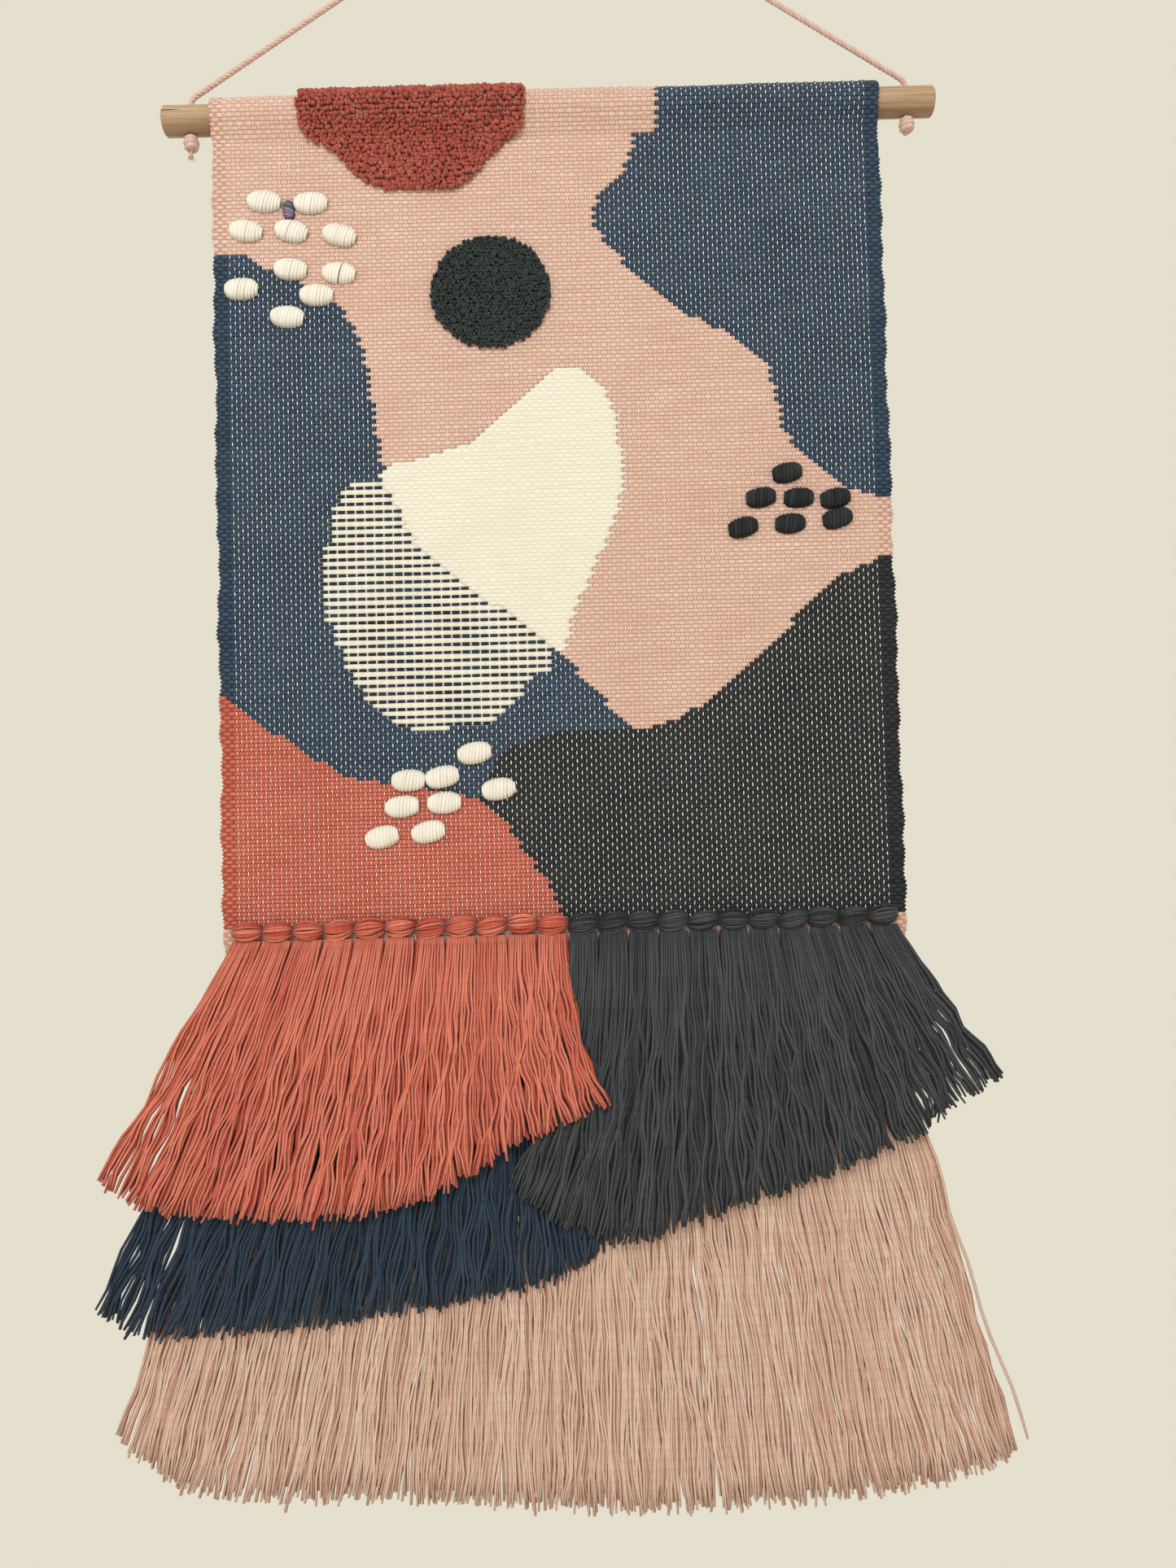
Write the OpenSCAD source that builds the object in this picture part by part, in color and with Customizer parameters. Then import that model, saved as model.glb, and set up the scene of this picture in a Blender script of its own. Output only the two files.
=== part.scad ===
// Hand-woven tapestry wall hanging on a wooden rod, with three tiers of knotted fringe.
// The origin is the point where the hanging cord bears on its hook.
// +X is to the viewer's right, +Y goes into the wall and +Z is up.

/* [Rod] */
// Diameter of the wooden rod
rod_d = 22; // [16:1:30]
// Bare rod beyond the cloth at each end, before the cloth is shifted
rod_over = 40; // [30:1:80]
// Chamfer round the rod's ends
rod_chamfer = 1.5; // [0.5:0.5:3]
// Distance from a rod end to the centre of its cord hole
hole_inset = 20; // [16:1:30]
// Diameter of a cord hole
hole_d = 5; // [4.5:0.5:8]

/* [Hanging cord] */
// Diameter of the cord
cord_d = 4; // [3:0.5:4.5]
// Height of the hang point above the rod's axis
rod_drop = 190; // [150:5:240]
// Diameter of a stopper knot
stopper_d = 12; // [9:1:16]
// Height of a stopper knot
stopper_h = 13; // [10:1:20]
// Length of the frayed tail below the left knot
tail_l = 7; // [3:1:20]

/* [Cloth] */
// Width of the woven cloth
cloth_w = 500; // [380:10:520]
// Height of the cloth, from the rod's axis to its bottom edge
cloth_h = 700; // [560:10:900]
// Thickness of the cloth
cloth_t = 4; // [3:0.5:6]
// Distance from the rod's middle to the cloth's middle, to the right
cloth_shift = -3; // [-8:1:8]
// Clearance between the rod and the inside of the sleeve
sleeve_gap = 0.4; // [0.2:0.1:2]
// Height of the neck from the sleeve's round part to its seam
neck_h = 5; // [4:0.5:10]
// Height of the hem turned down behind the seam
hem_h = 18; // [12:1:40]
// Number of warp threads
warp_count = 144; // [72:2:180]
// Thickness of a warp thread
warp_t = 1.2; // [0.6:0.2:2]
// Height of one pick of weft in the striped patch
pick_h = 3; // [2:0.1:5]

/* [Relief] */
// Height of the cut and looped pile above the cloth
pile_h = 5; // [3:0.5:8]
// Length of a wrapped stitch
stitch_l = 25; // [16:1:30]
// Width of a wrapped stitch
stitch_w = 16; // [10:1:18]
// Height of a wrapped stitch above the cloth
stitch_h = 6; // [4:0.5:8]

/* [Knots] */
// Knot heads of each colour in the top row
heads_top = 11; // [6:1:16]
// Knot heads in the navy row
heads_navy = 12; // [6:1:16]
// Knot heads in the pink row
heads_pink = 22; // [12:1:32]
// Height of a knot head in the top row
head_h = 16; // [10:1:20]
// Height of a knot head in the two lower rows
low_head_h = 14; // [8:1:16]
// Distance from the bottom edge of the cloth up to the top row's middle
top_row_up = 89; // [80:1:140]
// Distance from the bottom edge of the cloth up to the navy row's middle
navy_row_up = 53; // [46:1:56]
// Distance from the bottom edge of the cloth up to the pink row's middle
pink_row_up = 9; // [8:1:14]

/* [Fringe] */
// Longest rust yarn below its knot
rust_l = 192; // [120:1:300]
// Longest slate yarn below its knot
slate_l = 218; // [120:1:300]
// Longest navy yarn below its knot
navy_l = 243; // [160:1:330]
// Longest pink yarn below its knot
pink_l = 333; // [240:1:450]
// Thickness of one tier of yarn
tier_t = 6.4; // [4:0.2:9]
// Clearance between two tiers, and between two bundles of yarn
tier_gap = 0.4; // [0.2:0.1:2]

/* [Hidden] */
$fn = 64;

// Colours of the yarns and the wood
PINK = "#e4b9a5";
NAVY = "#3c4b69";
RUST = "#be5f55";
BLACK = "#2d3237";
SLATE = "#3c3e46";
IVORY = "#f0ebdc";
VIOLET = "#6a5a72";
WOOD = "#b4916e";
CORD = "#e1c3be";
BRICK = "#a0463c";

// Heights are measured from the rod's axis, and depths from the rod's axis plane.
big = 2000;
rod_l = cloth_w + 2 * rod_over;
hole_x = rod_l / 2 - hole_inset;
sleeve_r = rod_d / 2 + sleeve_gap;
sleeve_out = sleeve_r + cloth_t;
seam_z = -(sleeve_out + neck_h);
front_y = -1.5 * cloth_t;
back_y = -0.5 * cloth_t;
weft_t = (cloth_t - warp_t) / 2;
cloth_x0 = cloth_shift - cloth_w / 2;
cloth_x1 = cloth_shift + cloth_w / 2;

// The panel turns about an axis just under the seam; its top edge clears the seam.
seam_clear = 0.3;
panel_lip = 1.4;
hinge_y = front_y + cloth_t / 2;
hinge_z = seam_z - seam_clear - norm([cloth_t / 2, panel_lip]);
panel_top = hinge_z - panel_lip;
panel_hem = -cloth_h;

// Pattern outlines are drawn on a cloth 500 wide and 700 high and follow the cloth's size.
// Each point is a distance right of the cloth's middle and a distance below the rod's axis.
art_x = cloth_w / 500;
art_z = cloth_h / 700;
band_top = panel_hem + top_row_up + head_h / 2;
colour_join = 2.5;
sleeve_join = 85;

navy_right_edge = [
    [86, 0], [72, 17], [56, 45], [38, 65], [36, 85], [64, 122], [91, 147], [131, 169],
    [158, 190], [168, 219], [174, 247], [193, 270], [229, 292], [270, 298]
];
navy_left_edge = [
    [-280, 96], [-226, 102], [-206, 114], [-179, 126], [-158, 141], [-141, 169],
    [-135, 205], [-127, 261]
];
navy_point = [[-60, 330], [3, 407], [52, 463], [0, 480], [-78, 520], [-280, 520]];
ivory_edge = [
    [-128, 268], [-97, 256], [-54, 243], [-25, 214], [8, 191], [41, 211], [51, 262],
    [47, 302], [17, 369], [2, 404], [-21, 386], [-71, 351], [-99, 328], [-114, 298]
];
stripe_edge = [
    [-140, 273], [-160, 286], [-169, 321], [-174, 347], [-166, 388], [-145, 431],
    [-119, 457], [-77, 459], [-47, 455], [-22, 428], [-2, 404], [-40, 345], [-100, 290]
];
rust_edge = [
    [-280, 404], [-233, 444], [-206, 462], [-173, 484], [-149, 495], [-120, 500],
    [-75, 508], [-40, 516]
];
black_edge = [
    [280, 325], [236, 342], [197, 363], [159, 402], [125, 431], [79, 460], [19, 463],
    [-14, 467], [-41, 478], [-58, 512], [-45, 524], [-28, 551], [-8, 581], [2, 611]
];
half_moon_edge = [
    [-178, 12], [-165, 24], [-149, 40], [-139, 51], [-117, 61], [-92, 63], [-67, 60],
    [-50, 46], [-29, 25], [-18, 12]
];
half_moon_x = [-183, -15];
disc_at = [-43.5, 140];
disc_r = [44.5, 41.5];
stripe_from = 272;
stripe_to = 461;

// Wrapped stitches: right of the middle, below the rod's axis, tilt in degrees.
// A group's middle follows the cloth's size, and the stitches keep their spacing round it.
white_upper_middle = [-193, 110];
black_middle = [174, 305];
white_lower_middle = [-92, 515];
white_upper = [
    [-211, 67, -8], [-176, 69, -3], [-225, 89, -10], [-191, 90, -15], [-155, 94, -15],
    [-192, 119, -8], [-156, 123, -8], [-229, 133, -3], [-173, 139, -5], [-195, 155, -8]
];
violet_at = [-193, 74, 90];
black_at = [
    [173, 282, 8], [153, 300, 5], [181, 301, -2], [208, 302, 8],
    [139, 322, 10], [174, 320, 0], [209, 317, 10]
];
white_lower = [
    [-63, 484, 5], [-46, 511, 5], [-112, 503, -2], [-87, 501, 8],
    [-117, 522, 3], [-86, 520, 0], [-132, 544, 10], [-98, 541, 8]
];
black_share = 0.9;
violet_share = 0.56;

// Rows of knot heads and the axes that the fringe turns about, just under them
row_inset = 7.5;
row_x0 = cloth_x0 + row_inset;
row_x1 = cloth_x1 - row_inset;
join_x = cloth_shift + colour_join * art_x;
navy_row_x1 = cloth_shift + 22.5 * art_x;
head_depth = 10;
navy_head_depth = 8;
pink_head_depth = 6;
head_clear = 0.3;
top_row_z = panel_hem + top_row_up;
navy_row_z = panel_hem + navy_row_up;
pink_row_z = panel_hem + pink_row_up;
root_r = 4;
navy_root_r = 3.5;
pink_t = pink_head_depth - tier_gap;
root_y = front_y - 1 - root_r;
navy_root_y = front_y - 1 - navy_root_r;
pink_root_y = front_y - tier_gap - pink_t / 2;
root_z = top_row_z - head_h / 2 - head_clear - root_r;
navy_root_z = navy_row_z - low_head_h / 2 - head_clear - navy_root_r;
pink_root_z = pink_row_z - low_head_h / 2 - head_clear - pink_t / 2;

// Back face of each tier, from the wall outwards
navy_back = front_y - pink_head_depth - tier_gap;
slate_back = navy_back - tier_t - tier_gap;
rust_back = slate_back - tier_t - tier_gap;
shoulder_z = root_z - 67;
lean_share = 0.35;

// Highest and lowest place of a bundle's bend, as a share of the yarn below the knot
first_bend = 0.13;
last_bend = 0.95;

// Lower edge of each tier: right of the middle, share of the longest yarn
rust_cut = [
    [-335, 0.84], [-297, 0.96], [-220, 1], [-131, 0.98], [-84, 0.89], [-36, 0.74], [29, 0.59]
];
slate_cut = [
    [-46, 0.80], [-27, 0.88], [23, 0.98], [43, 1], [93, 0.91], [177, 0.80], [255, 0.65],
    [267, 0.58], [312, 0.48]
];
navy_cut = [
    [-344, 0.91], [-310, 1], [-268, 1], [-180, 0.97], [-85, 0.92], [-2, 0.85], [43, 0.70]
];
pink_cut = [
    [-331, 0.82], [-299, 0.92], [-240, 0.95], [-112, 0.96], [29, 1], [140, 0.99],
    [228, 0.97], [293, 0.93], [317, 0.89]
];
pink_bundles = 16;

// Route of the left half of the hanging cord: right of and above the hang point
cord_half = [
    [-270, -206], [-270, -196], [-270, -186], [-270, -178], [-269.5, -175.3],
    [-268.1, -172.9], [-266.4, -171.3], [-240, -153.9], [-210, -134.1], [-180, -114.3],
    [-150, -94.5], [-120, -74.7], [-90, -55], [-60, -35.2], [-30, -15.4], [-6.7, 0],
    [-4.1, 1.3]
];
cord_route = concat(
    cord_half,
    [[0, 2]],
    [for (i = [len(cord_half) - 1 : -1 : 0]) [-cord_half[i][0], cord_half[i][1]]]
);
cord_sides = 8;
cord_step = 12;

// ---- Curves ----

// One point of a smooth curve through b and c, with a before and d after them
function spline(a, b, c, d, t) = 0.5 * (
    2 * b + (c - a) * t + (2 * a - 5 * b + 4 * c - d) * t * t
    + (3 * b - a - 3 * c + d) * t * t * t);

// Smooth open curve through the points, with n steps between neighbours
function smooth_run(p, n = 4) = concat(
    [for (i = [0 : len(p) - 2], k = [0 : n - 1])
        spline(p[max(i - 1, 0)], p[i], p[i + 1], p[min(i + 2, len(p) - 1)], k / n)],
    [p[len(p) - 1]]);

// Smooth closed curve through the points
function smooth_loop(p, n = 4) = let (m = len(p))
    [for (i = [0 : m - 1], k = [0 : n - 1])
        spline(p[(i + m - 1) % m], p[i], p[(i + 1) % m], p[(i + 2) % m], k / n)];

// Pattern points placed on the cloth, as seen from the front
function on_cloth(p) = [for (q = p) [cloth_shift + q[0] * art_x, -q[1] * art_z]];

// Where a line from point p touches a circle of radius r round the origin
function tangent(r, p, side) = let (a = atan2(p[1], p[0]) + side * acos(r / norm(p)))
    [r * cos(a), r * sin(a)];

// Route points with further rings on the long straight runs
function with_rings(p) = concat(
    [for (i = [0 : len(p) - 2])
        let (n = max(1, round(norm(p[i + 1] - p[i]) / cord_step)))
        for (k = [0 : n - 1]) p[i] + (p[i + 1] - p[i]) * k / n],
    [p[len(p) - 1]]);

// ---- Placing ----

module at_rod() {
    translate([0, 0, -rod_drop]) children();
}

// Extrudes a front-view outline, from depth y over thickness t
module slab(y, t) {
    translate([0, y + t, 0]) rotate([90, 0, 0]) linear_extrude(t) children();
}

// Extrudes a side-view outline (depth, height) from x0 to x1
module rail(x0, x1) {
    translate([x0, 0, 0]) rotate([90, 0, 90]) linear_extrude(x1 - x0) children();
}

// ---- Rod, cord and stopper knots ----

module dowel_rod() {
    color(WOOD) at_rod() difference() {
        rotate([0, 90, 0]) rotate_extrude() polygon([
            [0, -rod_l / 2], [rod_d / 2 - rod_chamfer, -rod_l / 2],
            [rod_d / 2, -rod_l / 2 + rod_chamfer], [rod_d / 2, rod_l / 2 - rod_chamfer],
            [rod_d / 2 - rod_chamfer, rod_l / 2], [0, rod_l / 2]
        ]);
        for (side = [-1, 1]) {
            translate([side * hole_x, 0, -rod_d]) cylinder(d = hole_d, h = 2 * rod_d);
        }
    }
}

module hanging_cord() {
    path = with_rings(cord_route);
    last = len(path) - 1;
    rings = [for (i = [0 : last])
        let (d = path[min(i + 1, last)] - path[max(i - 1, 0)], u = d / norm(d))
        for (k = [0 : cord_sides - 1])
            let (a = (k + 0.5) * 360 / cord_sides, c = cord_d / 2 * cos(a))
            [path[i][0] - u[1] * c, cord_d / 2 * sin(a), path[i][1] + u[0] * c]];
    walls = [for (i = [0 : last - 1], k = [0 : cord_sides - 1])
        let (a = i * cord_sides + k, b = i * cord_sides + (k + 1) % cord_sides)
        [a, b, b + cord_sides, a + cord_sides]];
    ends = [
        [for (k = [cord_sides - 1 : -1 : 0]) k],
        [for (k = [0 : cord_sides - 1]) last * cord_sides + k]
    ];
    color(CORD) polyhedron(points = rings, faces = concat(walls, ends), convexity = 10);
}

// A round overhand knot drawn up against the underside of the rod
module stopper() {
    translate([0, 0, -rod_d / 2 - stopper_h / 2]) intersection() {
        cylinder(d = stopper_d, h = stopper_h, center = true);
        sphere(d = norm([stopper_d, stopper_h]) * 0.82);
    }
}

module cord_knot_left() {
    color(CORD) at_rod() translate([-hole_x, 0, 0]) {
        stopper();
        translate([0, 0, -rod_d / 2 - stopper_h - tail_l]) cylinder(
            d = stopper_d / 2, h = tail_l + stopper_h / 2);
    }
}

module cord_knot_right() {
    color(CORD) at_rod() translate([hole_x, 0, 0]) stopper();
}

// ---- Rod sleeve at the head of the cloth ----

// Outside of the sleeve, drawn in to the two layers of cloth at the seam
module sleeve_outer() {
    front = [front_y, seam_z];
    back = [cloth_t / 2, seam_z];
    circle(r = sleeve_out, $fn = 96);
    polygon([[0, 0], tangent(sleeve_out, front, -1), front, back,
        tangent(sleeve_out, back, 1)]);
}

module sleeve_inner() {
    fold = [back_y, seam_z + cloth_t];
    circle(r = sleeve_r, $fn = 96);
    polygon([[0, 0], tangent(sleeve_r, fold, -1), fold, tangent(sleeve_r, fold, 1)]);
}

module sleeve(x0, x1) {
    rail(x0, x1) difference() {
        sleeve_outer();
        sleeve_inner();
    }
}

module sleeve_pink() {
    color(PINK) at_rod() sleeve(cloth_x0, cloth_shift + sleeve_join * art_x);
}

module sleeve_navy() {
    color(NAVY) at_rod() sleeve(cloth_shift + sleeve_join * art_x, cloth_x1);
}

// The part of the half-moon that lies on the sleeve, from its front to just past its top
module pile_half_moon_top() {
    pile_end = sleeve_out + pile_h;
    below = -sleeve_out * 0.85;
    behind = sleeve_out * 0.3;
    color(BRICK) at_rod() rail(
        cloth_shift + half_moon_x[0] * art_x, cloth_shift + half_moon_x[1] * art_x
    ) difference() {
        circle(r = pile_end, $fn = 96);
        sleeve_outer();
        translate([-big / 2, below - big]) square(big);
        translate([behind, -big / 2]) square(big);
        translate([0, -big]) square(big);
    }
}

// ---- Woven panel ----

module panel_outline() {
    translate([cloth_x0, band_top]) square([cloth_w, panel_top - band_top]);
}

module navy_right_outline() {
    polygon(on_cloth(concat(smooth_run(navy_right_edge), [[270, 0]])));
}

module navy_left_outline() {
    polygon(on_cloth(concat(smooth_run(navy_left_edge), navy_point)));
}

module ivory_outline() {
    polygon(on_cloth(smooth_loop(ivory_edge)));
}

module stripe_outline() {
    polygon(on_cloth(smooth_loop(stripe_edge)));
}

module rust_outline() {
    polygon(on_cloth(concat(smooth_run(rust_edge), [[10, 560], [10, 620], [-280, 620]])));
}

module black_outline() {
    polygon(on_cloth(concat(smooth_run(black_edge), [[2, 620], [280, 620]])));
}

module half_moon_outline() {
    polygon(on_cloth(smooth_run(half_moon_edge)));
}

module disc_outline() {
    polygon(on_cloth([for (a = [0 : 5 : 355])
        disc_at + [disc_r[0] * cos(a), disc_r[1] * sin(a)]]));
}

// Bars one pick high, with one pick between them
module stripe_bars() {
    for (d = [stripe_from * art_z : 2 * pick_h : stripe_to * art_z]) {
        translate([cloth_x0, -d - pick_h]) square([cloth_w, pick_h]);
    }
}

// The two faces of the weft, in front of and behind the warp
module weft() {
    slab(front_y, weft_t) children();
    slab(back_y - weft_t, weft_t) children();
}

module warp_threads() {
    pitch = cloth_w / warp_count;
    color(IVORY) at_rod() for (i = [0 : warp_count - 1]) {
        translate([cloth_x0 + (i + 0.5) * pitch - warp_t / 2, front_y + weft_t, panel_hem])
            cube([warp_t, warp_t, panel_top - panel_hem]);
    }
}

module weft_pink_field() {
    color(PINK) at_rod() weft() difference() {
        panel_outline();
        navy_right_outline();
        navy_left_outline();
        ivory_outline();
        stripe_outline();
        rust_outline();
        black_outline();
    }
}

module weft_navy_right() {
    color(NAVY) at_rod() weft() intersection() {
        panel_outline();
        navy_right_outline();
    }
}

module weft_navy_left() {
    color(NAVY) at_rod() weft() difference() {
        intersection() {
            panel_outline();
            navy_left_outline();
        }
        ivory_outline();
        stripe_outline();
        rust_outline();
        black_outline();
    }
}

module weft_ivory() {
    color(IVORY) at_rod() weft() ivory_outline();
}

module stripe_patch() {
    difference() {
        stripe_outline();
        ivory_outline();
    }
}

module weft_stripes_ivory() {
    color(IVORY) at_rod() difference() {
        weft() stripe_patch();
        slab(front_y, weft_t / 2) intersection() {
            stripe_patch();
            stripe_bars();
        }
    }
}

module weft_stripes_navy() {
    color(NAVY) at_rod() slab(front_y, weft_t / 2) intersection() {
        stripe_patch();
        stripe_bars();
    }
}

module weft_rust() {
    color(RUST) at_rod() weft() difference() {
        intersection() {
            panel_outline();
            rust_outline();
        }
        black_outline();
    }
}

module weft_black() {
    color(BLACK) at_rod() weft() intersection() {
        panel_outline();
        black_outline();
    }
}

// The plain band behind the fringe, which carries the knots
module weft_pink_band() {
    color(PINK) at_rod() weft()
        translate([cloth_x0, panel_hem]) square([cloth_w, band_top - panel_hem]);
}

module hem_flap() {
    color(PINK) at_rod() translate([cloth_x0, back_y, panel_top - hem_h])
        cube([cloth_w, cloth_t, hem_h]);
}

// Running stitches that hold the hem down, on its back face
module hem_stitches() {
    pitch = 14;
    length = 8;
    thread = 1;
    count = floor((cloth_w - pitch) / pitch);
    color(IVORY) at_rod() for (i = [0 : count]) {
        translate([cloth_x0 + pitch / 2 + i * pitch, cloth_t / 2, panel_top - hem_h + 3])
            cube([length, thread, thread]);
    }
}

module pile_half_moon() {
    below = panel_top - 5;
    color(BRICK) at_rod() slab(front_y - pile_h, pile_h) intersection() {
        half_moon_outline();
        translate([-big / 2, below - big]) square(big);
    }
}

module pile_disc() {
    color(BLACK) at_rod() slab(front_y - pile_h, pile_h) disc_outline();
}

// ---- Wrapped stitches ----

// One wrapped stitch of a group: a capsule whose front part stands out of the cloth
module stitch(middle, at, share = 1) {
    // Radius of the round end whose front stitch_h shows stitch_w wide
    r = (stitch_h * stitch_h + stitch_w * stitch_w / 4) / (2 * stitch_h) * share;
    half = max((stitch_l - stitch_w) / 2, 0) * share;
    p = on_cloth([middle])[0];
    translate([p[0] + at[0] - middle[0], 0, p[1] + middle[1] - at[1]]) rotate([0, -at[2], 0]) intersection() {
        translate([0, front_y - stitch_h * share + r, 0]) union() {
            rotate([0, 90, 0]) cylinder(r = r, h = 2 * half, center = true);
            for (side = [-1, 1]) {
                translate([side * half, 0, 0]) sphere(r = r);
            }
        }
        translate([-stitch_l, front_y - 2 * stitch_h, -stitch_l])
            cube([2 * stitch_l, 2 * stitch_h, 2 * stitch_l]);
    }
}

module stitches_white_upper() {
    color(IVORY) at_rod() for (at = white_upper) {
        stitch(white_upper_middle, at);
    }
}

module stitch_violet() {
    color(VIOLET) at_rod() stitch(white_upper_middle, violet_at, violet_share);
}

module stitches_black() {
    color(BLACK) at_rod() for (at = black_at) {
        stitch(black_middle, at, black_share);
    }
}

module stitches_white_lower() {
    color(IVORY) at_rod() for (at = white_lower) {
        stitch(white_lower_middle, at);
    }
}

// ---- Knot heads ----

// A row of knot heads on the cloth's front face, from x0 to x1
module heads(x0, x1, count, z, height, depth) {
    pitch = (x1 - x0) / count;
    r = height / 2;
    for (i = [0 : count - 1]) {
        intersection() {
            rail(x0 + i * pitch + tier_gap / 2, x0 + (i + 1) * pitch - tier_gap / 2)
                intersection() {
                    translate([front_y - depth + r, z]) circle(r = r);
                    translate([front_y - depth, z - r]) square([depth, height]);
                }
            translate([x0 + (i + 0.5) * pitch, front_y - depth + r, z])
                sphere(r = norm([pitch / 2, r]) * 0.96);
        }
    }
}

module knots_rust() {
    color(RUST) at_rod() heads(row_x0, join_x, heads_top, top_row_z, head_h, head_depth);
}

module knots_slate() {
    color(SLATE) at_rod() heads(join_x, row_x1, heads_top, top_row_z, head_h, head_depth);
}

module knots_navy() {
    color(NAVY) at_rod()
        heads(row_x0, navy_row_x1, heads_navy, navy_row_z, low_head_h, navy_head_depth);
}

module knots_pink() {
    color(PINK) at_rod()
        heads(row_x0, row_x1, heads_pink, pink_row_z, low_head_h, pink_head_depth);
}

// ---- Fringe ----

// Front view of a tier: bundles that run from x0..x1 at the knots down to the cut edge.
// join is 1 where the right end meets another tier, -1 where the left end does, else 0;
// yarns near that end hang straight as far as the shoulder, where the bundles start to lean.
module bundles(x0, x1, count, z, length, cut, join) {
    top = z + root_r;
    left = cut[0][0] * art_x;
    right = cut[len(cut) - 1][0] * art_x;
    shoulder = min(shoulder_z - z, -length * first_bend);
    for (i = [0 : count - 1]) {
        run = [for (s = [0, 1])
            let (
                u = (i + s) / count,
                away = join == 1 ? 1 - u : join == -1 ? u : 1,
                inset = (1 - 2 * s) * tier_gap / 2,
                root = x0 + u * (x1 - x0),
                tip = cloth_shift + left + u * (right - left),
                drop = length * lookup((tip - cloth_shift) / art_x, cut),
                bend = root + (tip - root) * lean_share * away
            )
            [[root + inset, top], [bend + inset, z + max(shoulder, -drop * last_bend)],
                [tip + inset, z - drop]]];
        polygon([run[0][0], run[0][1], run[0][2], run[1][2], run[1][1], run[1][0]]);
    }
}

// Side view of a tier: a round root on its axis, then a run forward to its own layer
module tier_side(y, z, r, front, back, bottom) {
    root = [for (a = [0 : 15 : 180]) [y + r * cos(a), z + r * sin(a)]];
    polygon(concat(root, front, [[front[len(front) - 1][0], bottom],
        [back[0][0], bottom]], back));
}

// The height at which a tier has cleared the knot heads behind it
knee_z = navy_row_z + low_head_h / 2 + 2;
knee_back = front_y - navy_head_depth - 1.5 * tier_gap;
knee_front = knee_back - tier_t;
slate_shoulder_z = root_z - 45;
navy_shoulder_z = pink_row_z + low_head_h / 2 + 4;

module fringe_rust() {
    bottom = root_z - rust_l - 1;
    color(RUST) at_rod() intersection() {
        slab(-big / 4, big / 4)
            bundles(row_x0, join_x, heads_top, root_z, rust_l, rust_cut, 1);
        rail(-big / 2, big / 2) tier_side(root_y, root_z, root_r,
            [[knee_front, knee_z], [rust_back - tier_t, shoulder_z]],
            [[rust_back, shoulder_z], [knee_back, knee_z]], bottom);
    }
}

module fringe_slate() {
    bottom = root_z - slate_l - 1;
    color(SLATE) at_rod() intersection() {
        slab(-big / 4, big / 4)
            bundles(join_x, row_x1, heads_top, root_z, slate_l, slate_cut, -1);
        rail(-big / 2, big / 2) tier_side(root_y, root_z, root_r,
            [[knee_front, knee_z], [slate_back - tier_t, slate_shoulder_z]],
            [[slate_back, slate_shoulder_z], [knee_back, knee_z]], bottom);
    }
}

module fringe_navy() {
    bottom = navy_root_z - navy_l - 1;
    color(NAVY) at_rod() intersection() {
        slab(-big / 4, big / 4)
            bundles(row_x0, navy_row_x1, heads_navy, navy_root_z, navy_l, navy_cut, 0);
        rail(-big / 2, big / 2) tier_side(navy_root_y, navy_root_z, navy_root_r,
            [[navy_back - tier_t, navy_shoulder_z]], [[navy_back, navy_shoulder_z]], bottom);
    }
}

module fringe_pink() {
    bottom = pink_root_z - pink_l - 1;
    color(PINK) at_rod() intersection() {
        slab(-big / 4, big / 4)
            bundles(row_x0, row_x1, pink_bundles, pink_root_z, pink_l, pink_cut, 0);
        rail(-big / 2, big / 2) tier_side(pink_root_y, pink_root_z, pink_t / 2,
            [[pink_root_y - pink_t / 2, pink_root_z - 1]],
            [[pink_root_y + pink_t / 2, pink_root_z - 1]], bottom);
    }
}

dowel_rod();
hanging_cord();
cord_knot_left();
cord_knot_right();
sleeve_pink();
sleeve_navy();
pile_half_moon_top();
warp_threads();
weft_pink_field();
weft_navy_right();
weft_navy_left();
weft_ivory();
weft_stripes_ivory();
weft_stripes_navy();
weft_rust();
weft_black();
weft_pink_band();
hem_flap();
hem_stitches();
pile_half_moon();
pile_disc();
stitches_white_upper();
stitch_violet();
stitches_black();
stitches_white_lower();
knots_rust();
knots_slate();
knots_navy();
knots_pink();
fringe_rust();
fringe_slate();
fringe_navy();
fringe_pink();
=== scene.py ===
"""Hand-woven tapestry wall hanging on a wooden rod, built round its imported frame."""

import logging
import math
from dataclasses import dataclass
from enum import Enum

import bmesh
import bpy
import numpy as np
from mathutils import Matrix, Vector
from mathutils.bvhtree import BVHTree


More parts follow.
